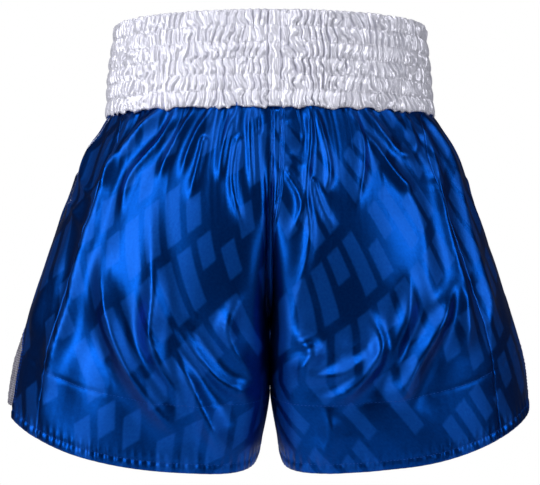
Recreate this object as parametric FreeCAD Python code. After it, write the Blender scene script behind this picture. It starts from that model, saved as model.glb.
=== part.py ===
"""Boxing shorts: a gathered six-channel elastic waistband over a satin body with open side vents.

Millimetres.  +Z is up, the wearer faces -Y and the wearer's left is +X.  The origin is the centre of
the waist opening, in the plane of the waistband's top edge.  Every sheet of cloth is a thin closed
solid on one smooth body surface, so that seams meet edge to edge.  A place on that surface is a
height z and a distance measured round the leg from the side line, which is where the vent is:
positive distances run round the back to the rise seam, negative ones round the front.
"""
import FreeCAD
import Part
import math
import os

Vector = FreeCAD.Vector

# ---------------------------------------------------------------- waistband
BAND_HEIGHT = 80.0            # top edge to the seam with the body
TOP_HALF_WIDTH = 133.0        # waist oval at the top edge
TOP_HALF_DEPTH = 98.0
SEAM_HALF_WIDTH = 142.0       # waist oval at the seam with the body
SEAM_HALF_DEPTH = 105.0
CHANNELS = 6
ELASTIC_HEIGHT = 10.5
ELASTIC_THICKNESS = 1.2
BAND_OFFSET, BAND_WALL = 2.4, 0.8     # the casing's faces stand this far either side of the oval
BUTTONHOLE_X = 18.0           # drawcord buttonholes, either side of the centre front
BUTTONHOLE_Z = -BAND_HEIGHT * 3.5 / CHANNELS
BUTTONHOLE_SLOT = (1.6, 9.0)          # width and height
BUTTONHOLE_BINDING = (5.0, 12.0)
LABEL_SIZE = (34.0, 0.4, 26.0)
LABEL_TUCK = 4.0              # how much of the label is held above the waist seam
LABEL_SPACE = 0.5

# ---------------------------------------------------------------- body outline
BODY_DROP = 298.0             # waist seam to the lowest point of the hem
SIDE_FLARE = 92.0             # how much wider than the seam each side is at the hem
FLARE_POWER = 1.75            # above 1, most of the flare is near the waist
BACK_FULLNESS, BACK_GROWTH = 14.0, 3.0    # extra depth halfway down, and at the hem
FRONT_FULLNESS, FRONT_GROWTH = 7.0, 0.0
SQUARENESS = 0.3              # how far the outer curve passes from an ellipse to a square at the hem
PARTING_SHARE = 0.12          # share of the drop over which the two crests form
FIRST_CREST, CREST_SPREAD, CREST_RATE = 8.0, 50.0, 1.3
CREST_POWER = 0.6             # exponent of the crest's inner curve
LOW_Z = -BAND_HEIGHT - BODY_DROP

# ---------------------------------------------------------------- rises, gusset and legs
CROTCH_Z = -303.0
BACK_RISE_START, BACK_RISE_POWER = -95.0, 2.4
FRONT_RISE_START, FRONT_RISE_POWER = -110.0, 3.2
VALLEY_HALF_WIDTH = 5.0       # of the valley along the rise seams
FLOOR_TURN = 5.0
GUSSET_TIP_Z = -262.0         # the gusset's front and back corners
GUSSET_HALF_WIDTH = 17.0
GUSSET_TURN = 40.0            # over this depth the inner wall bends out to the gusset's side corner
GUSSET_BLEND = 60.0           # drop over which the inseam comes back from there
LEGS_PART_Z = -317.0
CLOSEST_HALF_GAP = 1.8
LEG_GAP = 12.0                # from the centre plane to each leg's inner wall at the hem
LEG_GAP_POWER = 1.3

# ---------------------------------------------------------------- hem, vents and seams
HEM_SIDE_RISE = 40.0          # the hem is this much higher at the vent than at its lowest point
HEM_SWEEP = 130.0             # distance over which that rise fades
HEM_INNER_RISE, HEM_INNER_START, HEM_INNER_RUN = 10.0, 250.0, 120.0
HEM_TURN = 7.5                # stitching to hem edge
FACING_DEPTH = 56.0           # the back legs' inner hem facing
VENT_TOP_Z = -265.0
VENT_OPENING = {"left": 26.0, "right": 8.0}   # how far each vent's back edge stands open at the hem
VENT_FRONT_OPENING = 6.0
VENT_TURN = 4.0
INSERT_LAP = 5.0              # the insert runs this far behind the vent's edges
SIDE_PANEL_WIDTH = 92.0       # vent to the seam with the back panel, below the gathers
SEAM_DRAW, SEAM_DRAW_FADE = 42.0, 35.0    # the gathers draw that seam in at the waist
SEAM_ALLOWANCE = 5.0          # the body's top edge is held between the waistband's two walls
BODY_TOP = -BAND_HEIGHT + SEAM_ALLOWANCE
SEAM_CLEARANCE = 0.15         # half the space left along each sewn edge
RISE_STITCH_INSETS = (2.5, 9.0)

# ---------------------------------------------------------------- layers, as offsets from the body surface
CLOTH = 0.8                   # satin with its interlining
THREAD = 0.45
BODY_LAYER = (0.1, 0.1 + CLOTH)
ELASTIC_LAYER = (-0.1 - ELASTIC_THICKNESS, -0.1)
FACING_LAYER = (-0.9, -0.3)
INSERT_LAYER = (-0.8, -0.2)
THREAD_LAYER = (BODY_LAYER[1] + 0.1, BODY_LAYER[1] + 0.1 + THREAD)

# ---------------------------------------------------------------- construction
SECTION_STEPS = 48            # points along each arc of a body section
NORMAL_STEP = 0.25
CROWDING = 1.8                # columns crowd towards a rise seam, which turns in sharply
SETTLING_ROUNDS = 4           # a column's distance depends on its height, and its height on the hem
SAME_WAY = 1                  # both edges of a ruled face run in the same direction


def smooth(t):
    """0 below 0, 1 above 1, and a smooth step between."""
    t = max(0.0, min(1.0, t))
    return t * t * (3 - 2 * t)


# ---------------------------------------------------------------- the body surface
def drop_share(z):
    """0 at the waist seam and above, 1 at the lowest point of the hem and below."""
    return max(0.0, min(1.0, (-BAND_HEIGHT - z) / BODY_DROP))


def band_half_axes(z):
    """Half width and half depth of the waistband's oval."""
    share = -z / BAND_HEIGHT
    return (TOP_HALF_WIDTH + (SEAM_HALF_WIDTH - TOP_HALF_WIDTH) * share,
            TOP_HALF_DEPTH + (SEAM_HALF_DEPTH - TOP_HALF_DEPTH) * share)


def side_half_width(z):
    if z > -BAND_HEIGHT:
        return band_half_axes(z)[0]
    return SEAM_HALF_WIDTH + SIDE_FLARE * (1 - (1 - drop_share(z)) ** FLARE_POWER)


def half_depth(z, side):
    """Depth of the body behind (side +1) or in front of (side -1) the side line."""
    if z > -BAND_HEIGHT:
        return band_half_axes(z)[1]
    s = drop_share(z)
    fullness, growth = (BACK_FULLNESS, BACK_GROWTH) if side > 0 else (FRONT_FULLNESS, FRONT_GROWTH)
    return SEAM_HALF_DEPTH + growth * s + fullness * math.sin(math.pi * s)


def rise_reach(z, side):
    """Depth of the rise seam: the body's full depth at the waist, falling to 0 at the crotch."""
    start, power = (BACK_RISE_START, BACK_RISE_POWER) if side > 0 else (FRONT_RISE_START, FRONT_RISE_POWER)
    t = max(0.0, min(1.0, (start - z) / (start - CROTCH_Z)))
    return half_depth(z, side) * (1 - t ** power)


def wall_x(z):
    """Distance of a leg's inner wall from the centre plane, least where the two legs nearly touch."""
    pinch = smooth((GUSSET_TIP_Z - z) / (GUSSET_TIP_Z - LEGS_PART_Z))
    valley = VALLEY_HALF_WIDTH + (CLOSEST_HALF_GAP - VALLEY_HALF_WIDTH) * pinch
    leg_share = max(0.0, (LEGS_PART_Z - z) / (LEGS_PART_Z - LOW_Z))
    return valley + (LEG_GAP - CLOSEST_HALF_GAP) * leg_share ** LEG_GAP_POWER


def edge_x(z):
    """Distance of the rise or inseam edge from the centre plane; the gusset fills what it leaves."""
    if z > GUSSET_TIP_Z:
        return 0.0
    if z > CROTCH_Z:
        return GUSSET_HALF_WIDTH * (GUSSET_TIP_Z - z) / (GUSSET_TIP_Z - CROTCH_Z)
    return GUSSET_HALF_WIDTH + (LEG_GAP - GUSSET_HALF_WIDTH) * smooth((CROTCH_Z - z) / GUSSET_BLEND)


def quarter_arc(start, corner, end, power):
    """Points of a quarter superellipse that leaves start towards corner and arrives at end from it."""
    points = []
    for i in range(SECTION_STEPS):
        t = math.pi / 2 * i / SECTION_STEPS
        to_corner, to_end = math.sin(t) ** power, 1 - math.cos(t) ** power
        points.append(tuple(s + (c - s) * to_corner + (e - c) * to_end
                            for s, c, e in zip(start, corner, end)))
    return points


def inner_turn(wall, edge, end, turn, upright):
    """Last stretch of a section: level at a rise seam, upright at an inseam, and between at the gusset."""
    points = []
    steps = SECTION_STEPS // 3
    for i in range(steps + 1):
        share = i / steps
        t = math.pi / 2 * share
        level_x, level_y = edge + (wall - edge) * math.cos(t), end + turn * (1 - math.sin(t))
        upright_x, upright_y = wall + (edge - wall) * smooth(share), end + turn * (1 - share)
        points.append((level_x + (upright_x - level_x) * upright, level_y + (upright_y - level_y) * upright))
    return points


def quarter_section(z, side):
    """Points from the side line, over the crest of the seat or thigh and down the inner wall."""
    a, b, end = side_half_width(z), half_depth(z, side), rise_reach(z, side)
    s, edge = drop_share(z), edge_x(z)
    parting = smooth(s / PARTING_SHARE)
    wall = wall_x(z) * parting
    crest = wall + (FIRST_CREST + CREST_SPREAD * smooth(CREST_RATE * s)) * parting
    turn = min(FLOOR_TURN + GUSSET_TURN * edge / GUSSET_HALF_WIDTH, (b - end) / 2)
    upright = smooth((GUSSET_TIP_Z - z) / (GUSSET_TIP_Z - CROTCH_Z))
    points = quarter_arc((a, 0), (a, b), (crest, b), 2.0 / (2.0 + SQUARENESS * s))
    points += quarter_arc((crest, b), (wall, b), (wall, end + turn), CREST_POWER)
    points += inner_turn(wall, edge, end, turn, upright)
    return [(x, side * y) for x, y in points]


_sections = {}


def section(z, side):
    """The quarter section at a height with its running length, kept because panels share heights."""
    key = (round(z, 4), side)
    if key not in _sections:
        points = quarter_section(z, side)
        lengths = [0.0]
        for p, q in zip(points, points[1:]):
            lengths.append(lengths[-1] + math.hypot(q[0] - p[0], q[1] - p[1]))
        _sections[key] = (points, lengths)
    return _sections[key]


def quarter_length(z, side):
    return section(z, side)[1][-1]


def along(z, distance):
    """The point at a running distance from the side line: positive round the back, negative the front."""
    points, lengths = section(z, 1 if distance >= 0 else -1)
    wanted = min(abs(distance), lengths[-1])
    low, high = 0, len(lengths) - 1
    while high - low > 1:
        middle = (low + high) // 2
        if lengths[middle] <= wanted:
            low = middle
        else:
            high = middle
    p, q = points[low], points[high]
    length = lengths[high] - lengths[low]
    share = (wanted - lengths[low]) / length if length > 0 else 0.0
    return Vector(p[0] + (q[0] - p[0]) * share, p[1] + (q[1] - p[1]) * share, z)


def surface_normal(d, z):
    """Unit normal of the body surface, away from the wearer, never sampled across a rise seam."""
    limit = quarter_length(z, 1 if d >= 0 else -1) - NORMAL_STEP
    d = max(-limit, min(limit, d))
    across = along(z, d + NORMAL_STEP) - along(z, d - NORMAL_STEP)
    down = along(z - NORMAL_STEP, d) - along(z + NORMAL_STEP, d)
    normal = down.cross(across)
    normal.normalize()
    return normal


# ---------------------------------------------------------------- seam lines, as distances from the side line
def hem_z(distance):
    """Height of the hem edge: lowest under the seat's crest, sweeping up to the vent at the side."""
    d = abs(distance)
    side_rise = HEM_SIDE_RISE * math.exp(-(d / HEM_SWEEP) ** 2)
    return LOW_Z + side_rise + HEM_INNER_RISE * smooth((d - HEM_INNER_START) / HEM_INNER_RUN)


def back_rise_edge(z):
    return quarter_length(z, 1) - SEAM_CLEARANCE


def front_rise_edge(z):
    return -quarter_length(z, -1) + SEAM_CLEARANCE


def back_seam(z):
    """Seam of the side panel with the back panel, drawn in by the gathers at the waist."""
    return SIDE_PANEL_WIDTH - SEAM_DRAW * math.exp(-max(0.0, -BAND_HEIGHT - z) / SEAM_DRAW_FADE)


def back_panel_side(z):
    return back_seam(z) + SEAM_CLEARANCE


def vent_share(z):
    """0 above the vent and 1 at its lower end."""
    return max(0.0, (VENT_TOP_Z - z) / (VENT_TOP_Z - LOW_Z - HEM_SIDE_RISE))


def vent_back_edge(z, side):
    return SEAM_CLEARANCE + VENT_OPENING[side] * vent_share(z)


def vent_front_edge(z):
    return -SEAM_CLEARANCE - VENT_FRONT_OPENING * vent_share(z)


# ---------------------------------------------------------------- solids from rows of places
def interpolated(grid):
    skin = Part.BSplineSurface()
    skin.interpolate(grid)
    return skin


def solid_between(skin_a, skin_b):
    """Closes two matching spline surfaces with ruled faces along their four edges."""
    faces = [skin_a.toShape(), skin_b.toShape()]
    for skin_edges in zip(edge_curves(skin_a), edge_curves(skin_b)):
        faces.append(Part.makeRuledSurface(*skin_edges, SAME_WAY))
    shell = Part.makeShell(faces)
    shell.sewShape()
    solid = Part.Solid(shell)
    if solid.Volume < 0:
        solid.reverse()
    return solid


def edge_curves(skin):
    u0, u1, v0, v1 = skin.bounds()
    return [curve.toShape() for curve in (skin.uIso(u0), skin.uIso(u1), skin.vIso(v0), skin.vIso(v1))]


def cloth_solid(rows, layer):
    """A closed sheet between two offsets of the body surface; rows hold (distance, z) pairs."""
    skins = []
    for offset in layer:
        skins.append(interpolated([[along(z, d) + surface_normal(d, z) * offset for d, z in row]
                                   for row in rows]))
    return solid_between(*skins)


def even(share):
    return share


def crowded_at_end(share):
    return 1 - (1 - share) ** CROWDING


def panel_rows(near_edge, far_edge, top_z, bottom, columns, rows, spacing=even):
    """(distance, z) rows of a panel: each column runs from top_z down to bottom(distance)."""
    grid = []
    for i in range(rows + 1):
        line = []
        for j in range(columns + 1):
            share = spacing(j / columns)
            z = top_z
            for _ in range(SETTLING_ROUNDS):
                d = near_edge(z) + (far_edge(z) - near_edge(z)) * share
                z = top_z + (bottom(d) - top_z) * i / rows
            line.append((d, z))
        grid.append(line)
    return grid


def on_side(shape, side):
    """Shapes are modelled on the wearer's left; the right one is the mirror image."""
    return shape if side == "left" else shape.mirror(Vector(0, 0, 0), Vector(1, 0, 0))


# ---------------------------------------------------------------- body
def back_panel(side):
    rows = panel_rows(back_panel_side, back_rise_edge, BODY_TOP, hem_z, 28, 22, crowded_at_end)
    return on_side(cloth_solid(rows, BODY_LAYER), side)


def side_panel(side):
    rows = panel_rows(lambda z: vent_back_edge(z, side), lambda z: back_seam(z) - SEAM_CLEARANCE,
                      BODY_TOP, hem_z, 8, 22)
    return on_side(cloth_solid(rows, BODY_LAYER), side)


def front_panel(side):
    rows = panel_rows(vent_front_edge, front_rise_edge, BODY_TOP, hem_z, 36, 22, crowded_at_end)
    return on_side(cloth_solid(rows, BODY_LAYER), side)


def vent_insert(side):
    """Knitted mesh fan sewn behind the vent's two edges, from its top to just short of the hem."""
    rows = panel_rows(lambda z: vent_back_edge(z, side) + INSERT_LAP,
                      lambda z: vent_front_edge(z) - INSERT_LAP,
                      VENT_TOP_Z - VENT_TURN, lambda d: LOW_Z + HEM_SIDE_RISE + VENT_TURN, 6, 8)
    return on_side(cloth_solid(rows, INSERT_LAYER), side)


def hem_facing(side):
    """Second layer inside the back panel's hem, from the side seam to the inseam."""
    hem_row = panel_rows(back_panel_side, back_rise_edge, BODY_TOP, hem_z, 32, 1, crowded_at_end)[1]
    rows = []
    steps = 8
    for i in range(steps + 1):
        lift = 1.0 + (FACING_DEPTH - 1.0) * (1 - i / steps)
        rows.append([(min(d, back_rise_edge(z + lift)), z + lift) for d, z in hem_row])
    return on_side(cloth_solid(rows, FACING_LAYER), side)


def gusset_edge(side, mirror):
    """One edge of the gusset, from its front or back corner (0) to a side corner (1)."""
    gap = BODY_LAYER[1] + SEAM_CLEARANCE
    tip_z = GUSSET_TIP_Z + (CROTCH_Z - GUSSET_TIP_Z) * gap / GUSSET_HALF_WIDTH

    def at(t):
        z = tip_z + (CROTCH_Z - tip_z) * t
        return Vector(mirror * (edge_x(z) - gap), side * (rise_reach(z, side) - gap * (1 - t)), z)
    return at


def crotch_gusset():
    """Diamond between the legs: a Coons patch on the four edges that the panels leave open."""
    back_left, back_right = gusset_edge(1, 1), gusset_edge(1, -1)
    front_left, front_right = gusset_edge(-1, 1), gusset_edge(-1, -1)
    back, front, left, right = back_left(0), front_left(0), back_left(1), back_right(1)
    steps = 8
    grid = []
    for i in range(steps + 1):
        p, line = i / steps, []
        for j in range(steps + 1):
            q = j / steps
            across = back_left(p) * (1 - q) + front_right(1 - p) * q
            down = back_right(q) * (1 - p) + front_left(1 - q) * p
            corners = back * (1 - p) * (1 - q) + left * p * (1 - q) + right * (1 - p) * q + front * p * q
            line.append(across + down - corners)
        grid.append(line)
    upper = interpolated(grid)
    lower = interpolated([[point - Vector(0, 0, CLOTH) for point in line] for line in grid])
    return solid_between(upper, lower)


# ---------------------------------------------------------------- waistband
def oval_wire(z, offset):
    a, b = band_half_axes(z)
    return Part.Wire(Part.Ellipse(Vector(0, 0, z), a + offset, b + offset).toShape())


def oval_ring(low_z, high_z, inner, outer):
    """Ring of waistband cloth, elastic or thread between two heights and two offsets."""
    outside, inside = [Part.makeLoft([oval_wire(low_z, offset), oval_wire(high_z, offset)], True)
                       for offset in (outer, inner)]
    return outside.cut(inside)


def round_ended_block(side, size, depth):
    """Upright block with round ends, across the waistband's inner wall at one drawcord buttonhole."""
    width, height = size
    x = BUTTONHOLE_X if side == "left" else -BUTTONHOLE_X
    a, b = band_half_axes(BUTTONHOLE_Z)
    y = -b * math.sqrt(1 - (x / a) ** 2) + BAND_OFFSET - depth
    straight = height - width
    block = Part.makeBox(width, 2 * depth, straight, Vector(x - width / 2, y, BUTTONHOLE_Z - straight / 2))
    for end in (-straight / 2, straight / 2):
        base = Vector(x, y, BUTTONHOLE_Z + end)
        block = block.fuse(Part.makeCylinder(width / 2, 2 * depth, base, Vector(0, 1, 0)))
    return block.removeSplitter()


def waistband_casing():
    """One folded strip of satin: outer wall, top fold and inner wall, open below for the body's edge."""
    casing = oval_ring(-BAND_HEIGHT, 0, -BAND_OFFSET, BAND_OFFSET)
    cavity_half = BAND_OFFSET - BAND_WALL
    casing = casing.cut(oval_ring(-BAND_HEIGHT - 1, -BAND_WALL, -cavity_half, cavity_half))
    for side in ("left", "right"):
        casing = casing.cut(round_ended_block(side, BUTTONHOLE_SLOT, 1.5 * BAND_WALL))
    return casing


def drawcord_buttonhole(side):
    """Thread binding round one drawcord slot, on the face that lies against the wearer."""
    binding = round_ended_block(side, BUTTONHOLE_BINDING, BAND_OFFSET)
    binding = binding.cut(round_ended_block(side, BUTTONHOLE_SLOT, 2 * BAND_OFFSET))
    reach = BUTTONHOLE_BINDING[1]
    return binding.common(oval_ring(BUTTONHOLE_Z - reach, BUTTONHOLE_Z + reach,
                                    -BAND_OFFSET - THREAD, -BAND_OFFSET))


def waist_elastic(number):
    """Knitted elastic in one channel, counted from the top."""
    middle = -BAND_HEIGHT / CHANNELS * (number - 0.5) - BAND_WALL / 2
    return oval_ring(middle - ELASTIC_HEIGHT / 2, middle + ELASTIC_HEIGHT / 2, *ELASTIC_LAYER)


def channel_stitching():
    """A needle thread outside and a bobbin thread inside at each channel's lower edge."""
    rings = []
    for number in range(1, CHANNELS + 1):
        edge_inset = 2.0 if number == CHANNELS else 0.0
        z = -BAND_HEIGHT / CHANNELS * number + edge_inset
        for inner in (BAND_OFFSET, -BAND_OFFSET - THREAD):
            rings.append(oval_ring(z - THREAD / 2, z + THREAD / 2, inner, inner + THREAD))
    return Part.makeCompound(rings)


def size_label():
    """Blank woven label, sewn in at the centre of the back and hanging inside."""
    width, thickness, height = LABEL_SIZE
    top_z = -BAND_HEIGHT + LABEL_TUCK
    y = band_half_axes(top_z)[1] - BAND_OFFSET - THREAD - LABEL_SPACE - thickness
    return Part.makeBox(width, thickness, height, Vector(-width / 2, y, top_z - height))


# ---------------------------------------------------------------- stitching on the body
def hem_run(start, end, columns):
    """Hem thread between two distances from the side line, one hem turn above the edge."""
    rows = []
    for lift in (THREAD / 2, -THREAD / 2):
        distances = [start + (end - start) * j / columns for j in range(columns + 1)]
        rows.append([(d, hem_z(d) + HEM_TURN + lift) for d in distances])
    return cloth_solid(rows, THREAD_LAYER)


def hem_stitching(side):
    """Three runs: the side panel, the back panel and the front panel."""
    seam, break_half = back_seam(LOW_Z), 1.0
    inseam_z = LOW_Z + HEM_INNER_RISE + HEM_TURN
    runs = [hem_run(VENT_OPENING[side] + HEM_TURN, seam - break_half, 8),
            hem_run(seam + break_half, quarter_length(inseam_z, 1) - break_half, 24),
            hem_run(break_half - quarter_length(inseam_z, -1), -HEM_TURN - VENT_FRONT_OPENING, 30)]
    return on_side(Part.makeCompound(runs), side)


def upright_thread(edge, inset, high_z, low_z, rows):
    """A thread that runs down the cloth beside an edge of a panel."""
    grid = []
    for i in range(rows + 1):
        z = high_z + (low_z - high_z) * i / rows
        d = edge(z) + inset
        grid.append([(d - THREAD / 2, z), (d + THREAD / 2, z)])
    return cloth_solid(grid, THREAD_LAYER)


def vent_stitching(side):
    high_z, low_z = VENT_TOP_Z + VENT_TURN, LOW_Z + HEM_SIDE_RISE + VENT_TURN
    lines = [upright_thread(lambda z: vent_back_edge(z, side), VENT_TURN, high_z, low_z, 6),
             upright_thread(vent_front_edge, -VENT_TURN, high_z, low_z, 6)]
    return on_side(Part.makeCompound(lines), side)


def rise_stitching(edge, inward, side):
    """Topstitching beside a rise seam, from under the waistband to the gusset's corner."""
    lines = [upright_thread(edge, inward * inset, -BAND_HEIGHT - BAND_WALL, GUSSET_TIP_Z + VENT_TURN, 14)
             for inset in RISE_STITCH_INSETS]
    return on_side(Part.makeCompound(lines), side)


# ---------------------------------------------------------------- all nodes
def all_nodes():
    nodes = {"waistband_casing": waistband_casing(), "waistband_channel_stitching": channel_stitching(),
             "size_label": size_label(), "crotch_gusset": crotch_gusset()}
    for number in range(1, CHANNELS + 1):
        nodes[f"waist_elastic_{number}"] = waist_elastic(number)
    for side in ("left", "right"):
        nodes[f"drawcord_buttonhole_{side}"] = drawcord_buttonhole(side)
        nodes[f"back_panel_{side}"] = back_panel(side)
        nodes[f"side_panel_{side}"] = side_panel(side)
        nodes[f"front_panel_{side}"] = front_panel(side)
        nodes[f"vent_insert_{side}"] = vent_insert(side)
        nodes[f"back_hem_facing_{side}"] = hem_facing(side)
        nodes[f"hem_stitching_{side}"] = hem_stitching(side)
        nodes[f"vent_stitching_{side}"] = vent_stitching(side)
    nodes["back_rise_stitching"] = rise_stitching(back_rise_edge, -1, "right")
    nodes["front_rise_stitching"] = rise_stitching(front_rise_edge, 1, "left")
    return nodes


def main():
    os.makedirs("parts", exist_ok=True)
    for name, shape in sorted(all_nodes().items()):
        shape.exportStep(f"parts/{name}.step")
        print(f"{name:30s} valid {shape.isValid()}  solids {len(shape.Solids)}  volume {shape.Volume:10.1f}")


main()
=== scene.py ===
import math
from collections import namedtuple

import bpy
import numpy as np
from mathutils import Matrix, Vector


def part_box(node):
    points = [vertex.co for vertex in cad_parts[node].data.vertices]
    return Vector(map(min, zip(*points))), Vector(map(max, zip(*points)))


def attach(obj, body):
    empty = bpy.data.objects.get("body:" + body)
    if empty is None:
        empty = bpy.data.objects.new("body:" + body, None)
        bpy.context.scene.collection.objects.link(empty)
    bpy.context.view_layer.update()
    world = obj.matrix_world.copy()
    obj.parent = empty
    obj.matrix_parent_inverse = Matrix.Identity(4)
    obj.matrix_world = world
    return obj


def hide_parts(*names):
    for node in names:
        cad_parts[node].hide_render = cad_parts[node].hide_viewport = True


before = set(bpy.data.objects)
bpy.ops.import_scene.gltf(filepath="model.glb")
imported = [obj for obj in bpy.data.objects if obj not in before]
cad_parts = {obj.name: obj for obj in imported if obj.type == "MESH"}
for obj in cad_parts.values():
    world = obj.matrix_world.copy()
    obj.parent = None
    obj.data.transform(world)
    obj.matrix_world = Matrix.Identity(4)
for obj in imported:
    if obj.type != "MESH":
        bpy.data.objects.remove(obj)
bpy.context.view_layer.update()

# Boxing shorts.  Metres.  +Z is up, the wearer faces -Y, the wearer's left is +X, and the origin is the
# centre of the waist opening at the waistband's top edge.  A place on the body cloth is (f, z): f is the
# share of the way round a leg from the side line, +1 at the back rise and -1 at the front rise.
MM = 0.001
LEFT, RIGHT = 1, -1
SIDE_NAMES = {LEFT: "left", RIGHT: "right"}
BACK, FRONT = 1, -1

# ---------------------------------------------------------------- sizes taken from the frame
CASING_LOW, CASING_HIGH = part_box("waistband_casing")
BAND_OFFSET = 2.4 * MM
BAND_HEIGHT = CASING_HIGH.z - CASING_LOW.z
SEAM_HALF_WIDTH = CASING_HIGH.x - BAND_OFFSET
SEAM_HALF_DEPTH = CASING_HIGH.y - BAND_OFFSET
TOP_HALF_WIDTH = SEAM_HALF_WIDTH - 9 * MM
TOP_HALF_DEPTH = SEAM_HALF_DEPTH - 7 * MM
CHANNELS = sum(name.startswith("waist_elastic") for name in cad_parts)
LOW_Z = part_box("back_panel_left")[0].z
BODY_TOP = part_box("back_panel_left")[1].z
BODY_DROP = -BAND_HEIGHT - LOW_Z
SIDE_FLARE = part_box("front_panel_left")[1].x - 0.9 * MM - SEAM_HALF_WIDTH

# ---------------------------------------------------------------- body outline, close to the CAD's
FLARE_POWER = 1.75
BACK_FULLNESS, BACK_GROWTH = 14 * MM, 3 * MM
FRONT_FULLNESS, FRONT_GROWTH = 7 * MM, 0.0
SQUARENESS = 0.3
PARTING_SHARE = 0.12
FIRST_CREST, CREST_SPREAD, CREST_RATE = 8 * MM, 50 * MM, 1.3
CREST_POWER = 0.6
CROTCH_Z = -303 * MM
BACK_RISE_START, BACK_RISE_POWER = -95 * MM, 2.4
FRONT_RISE_START, FRONT_RISE_POWER = -110 * MM, 3.2
VALLEY_HALF_WIDTH = 4 * MM
FLOOR_TURN = 5 * MM
GUSSET_TIP_Z = -262 * MM
GUSSET_HALF_WIDTH = 17 * MM
GUSSET_TURN = 40 * MM
GUSSET_BLEND = 60 * MM
LEGS_PART_Z = -317 * MM
CLOSEST_HALF_GAP = 0.35 * MM
PINCH_START_Z, PINCH_RUN = -235 * MM, 42 * MM
LEG_GAP = 12 * MM
LEG_GAP_POWER = 1.3
HEM_SIDE_RISE = 45 * MM
HEM_SWEEP = 120 * MM
HEM_INNER_RISE, HEM_INNER_START, HEM_INNER_RUN = 10 * MM, 250 * MM, 120 * MM
HEM_TURN = 7.5 * MM
RISE_STITCH_INSETS = (2.5 * MM, 9 * MM)
FACING_DEPTH = 56 * MM
VENT_TOP_Z = -265 * MM
VENT_OPENING = {LEFT: 66 * MM, RIGHT: 10 * MM}
VENT_FRONT_OPENING = 6 * MM
VENT_SPREAD, VENT_FULLNESS, VENT_NARROWING = 0.4, 1.25, 0.5
SIDE_PANEL_WIDTH = 92 * MM
SEAM_DRAW, SEAM_DRAW_FADE = 42 * MM, 35 * MM


# ---------------------------------------------------------------- small numeric helpers
def smooth(t):
    """0 below 0, 1 above 1 and 3t^2 - 2t^3 between."""
    t = np.clip(t, 0.0, 1.0)
    return t * t * (3 - 2 * t)


def lerp(a, b, t):
    return a + (b - a) * t


def bump(x, width):
    """A bell: e to the minus (x / width) squared."""
    return np.exp(-(x / width) ** 2)


def wander(x, seed):
    """A smooth random line: seeded values from -1 to 1 at whole numbers, joined by smooth steps."""
    values = np.random.default_rng(seed).uniform(-1, 1, 1024)
    cell = np.floor(x).astype(int)
    return lerp(values[cell % 1024], values[(cell + 1) % 1024], smooth(x - cell))


def drift(x, y, seed):
    """A smooth random sheet: seeded values from -1 to 1 on a square grid, joined by smooth steps."""
    values = np.random.default_rng(seed).uniform(-1, 1, (256, 256))
    cx, cy = np.floor(x).astype(int), np.floor(y).astype(int)
    tx, ty = smooth(x - cx), smooth(y - cy)
    near = lerp(values[cx % 256, cy % 256], values[(cx + 1) % 256, cy % 256], tx)
    far = lerp(values[cx % 256, (cy + 1) % 256], values[(cx + 1) % 256, (cy + 1) % 256], tx)
    return lerp(near, far, ty)


def crest_lines(noise, softness=0.08):
    """Sharp ridges where the noise crosses zero: 1 minus a softened absolute value, centred on 0."""
    return 0.62 - np.sqrt(noise * noise + softness * softness)


# ---------------------------------------------------------------- the body surface
def drop_share(z):
    return np.clip((-BAND_HEIGHT - z) / BODY_DROP, 0, 1)


def band_half_axes(z):
    """Half width and half depth of the waistband's oval, which widen evenly from top to seam."""
    share = -z / BAND_HEIGHT
    return lerp(TOP_HALF_WIDTH, SEAM_HALF_WIDTH, share), lerp(TOP_HALF_DEPTH, SEAM_HALF_DEPTH, share)


def quarter_arc(start, corner, end, power, steps=48):
    """Quarter superellipses, one for each row, that leave start towards corner and arrive at end."""
    t = np.linspace(0, math.pi / 2, steps, endpoint=False)[None, :]
    to_corner, to_end = np.sin(t) ** power, 1 - np.cos(t) ** power
    return [s[:, None] + (c - s)[:, None] * to_corner + (e - c)[:, None] * to_end
            for s, c, e in zip(start, corner, end)]


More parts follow.
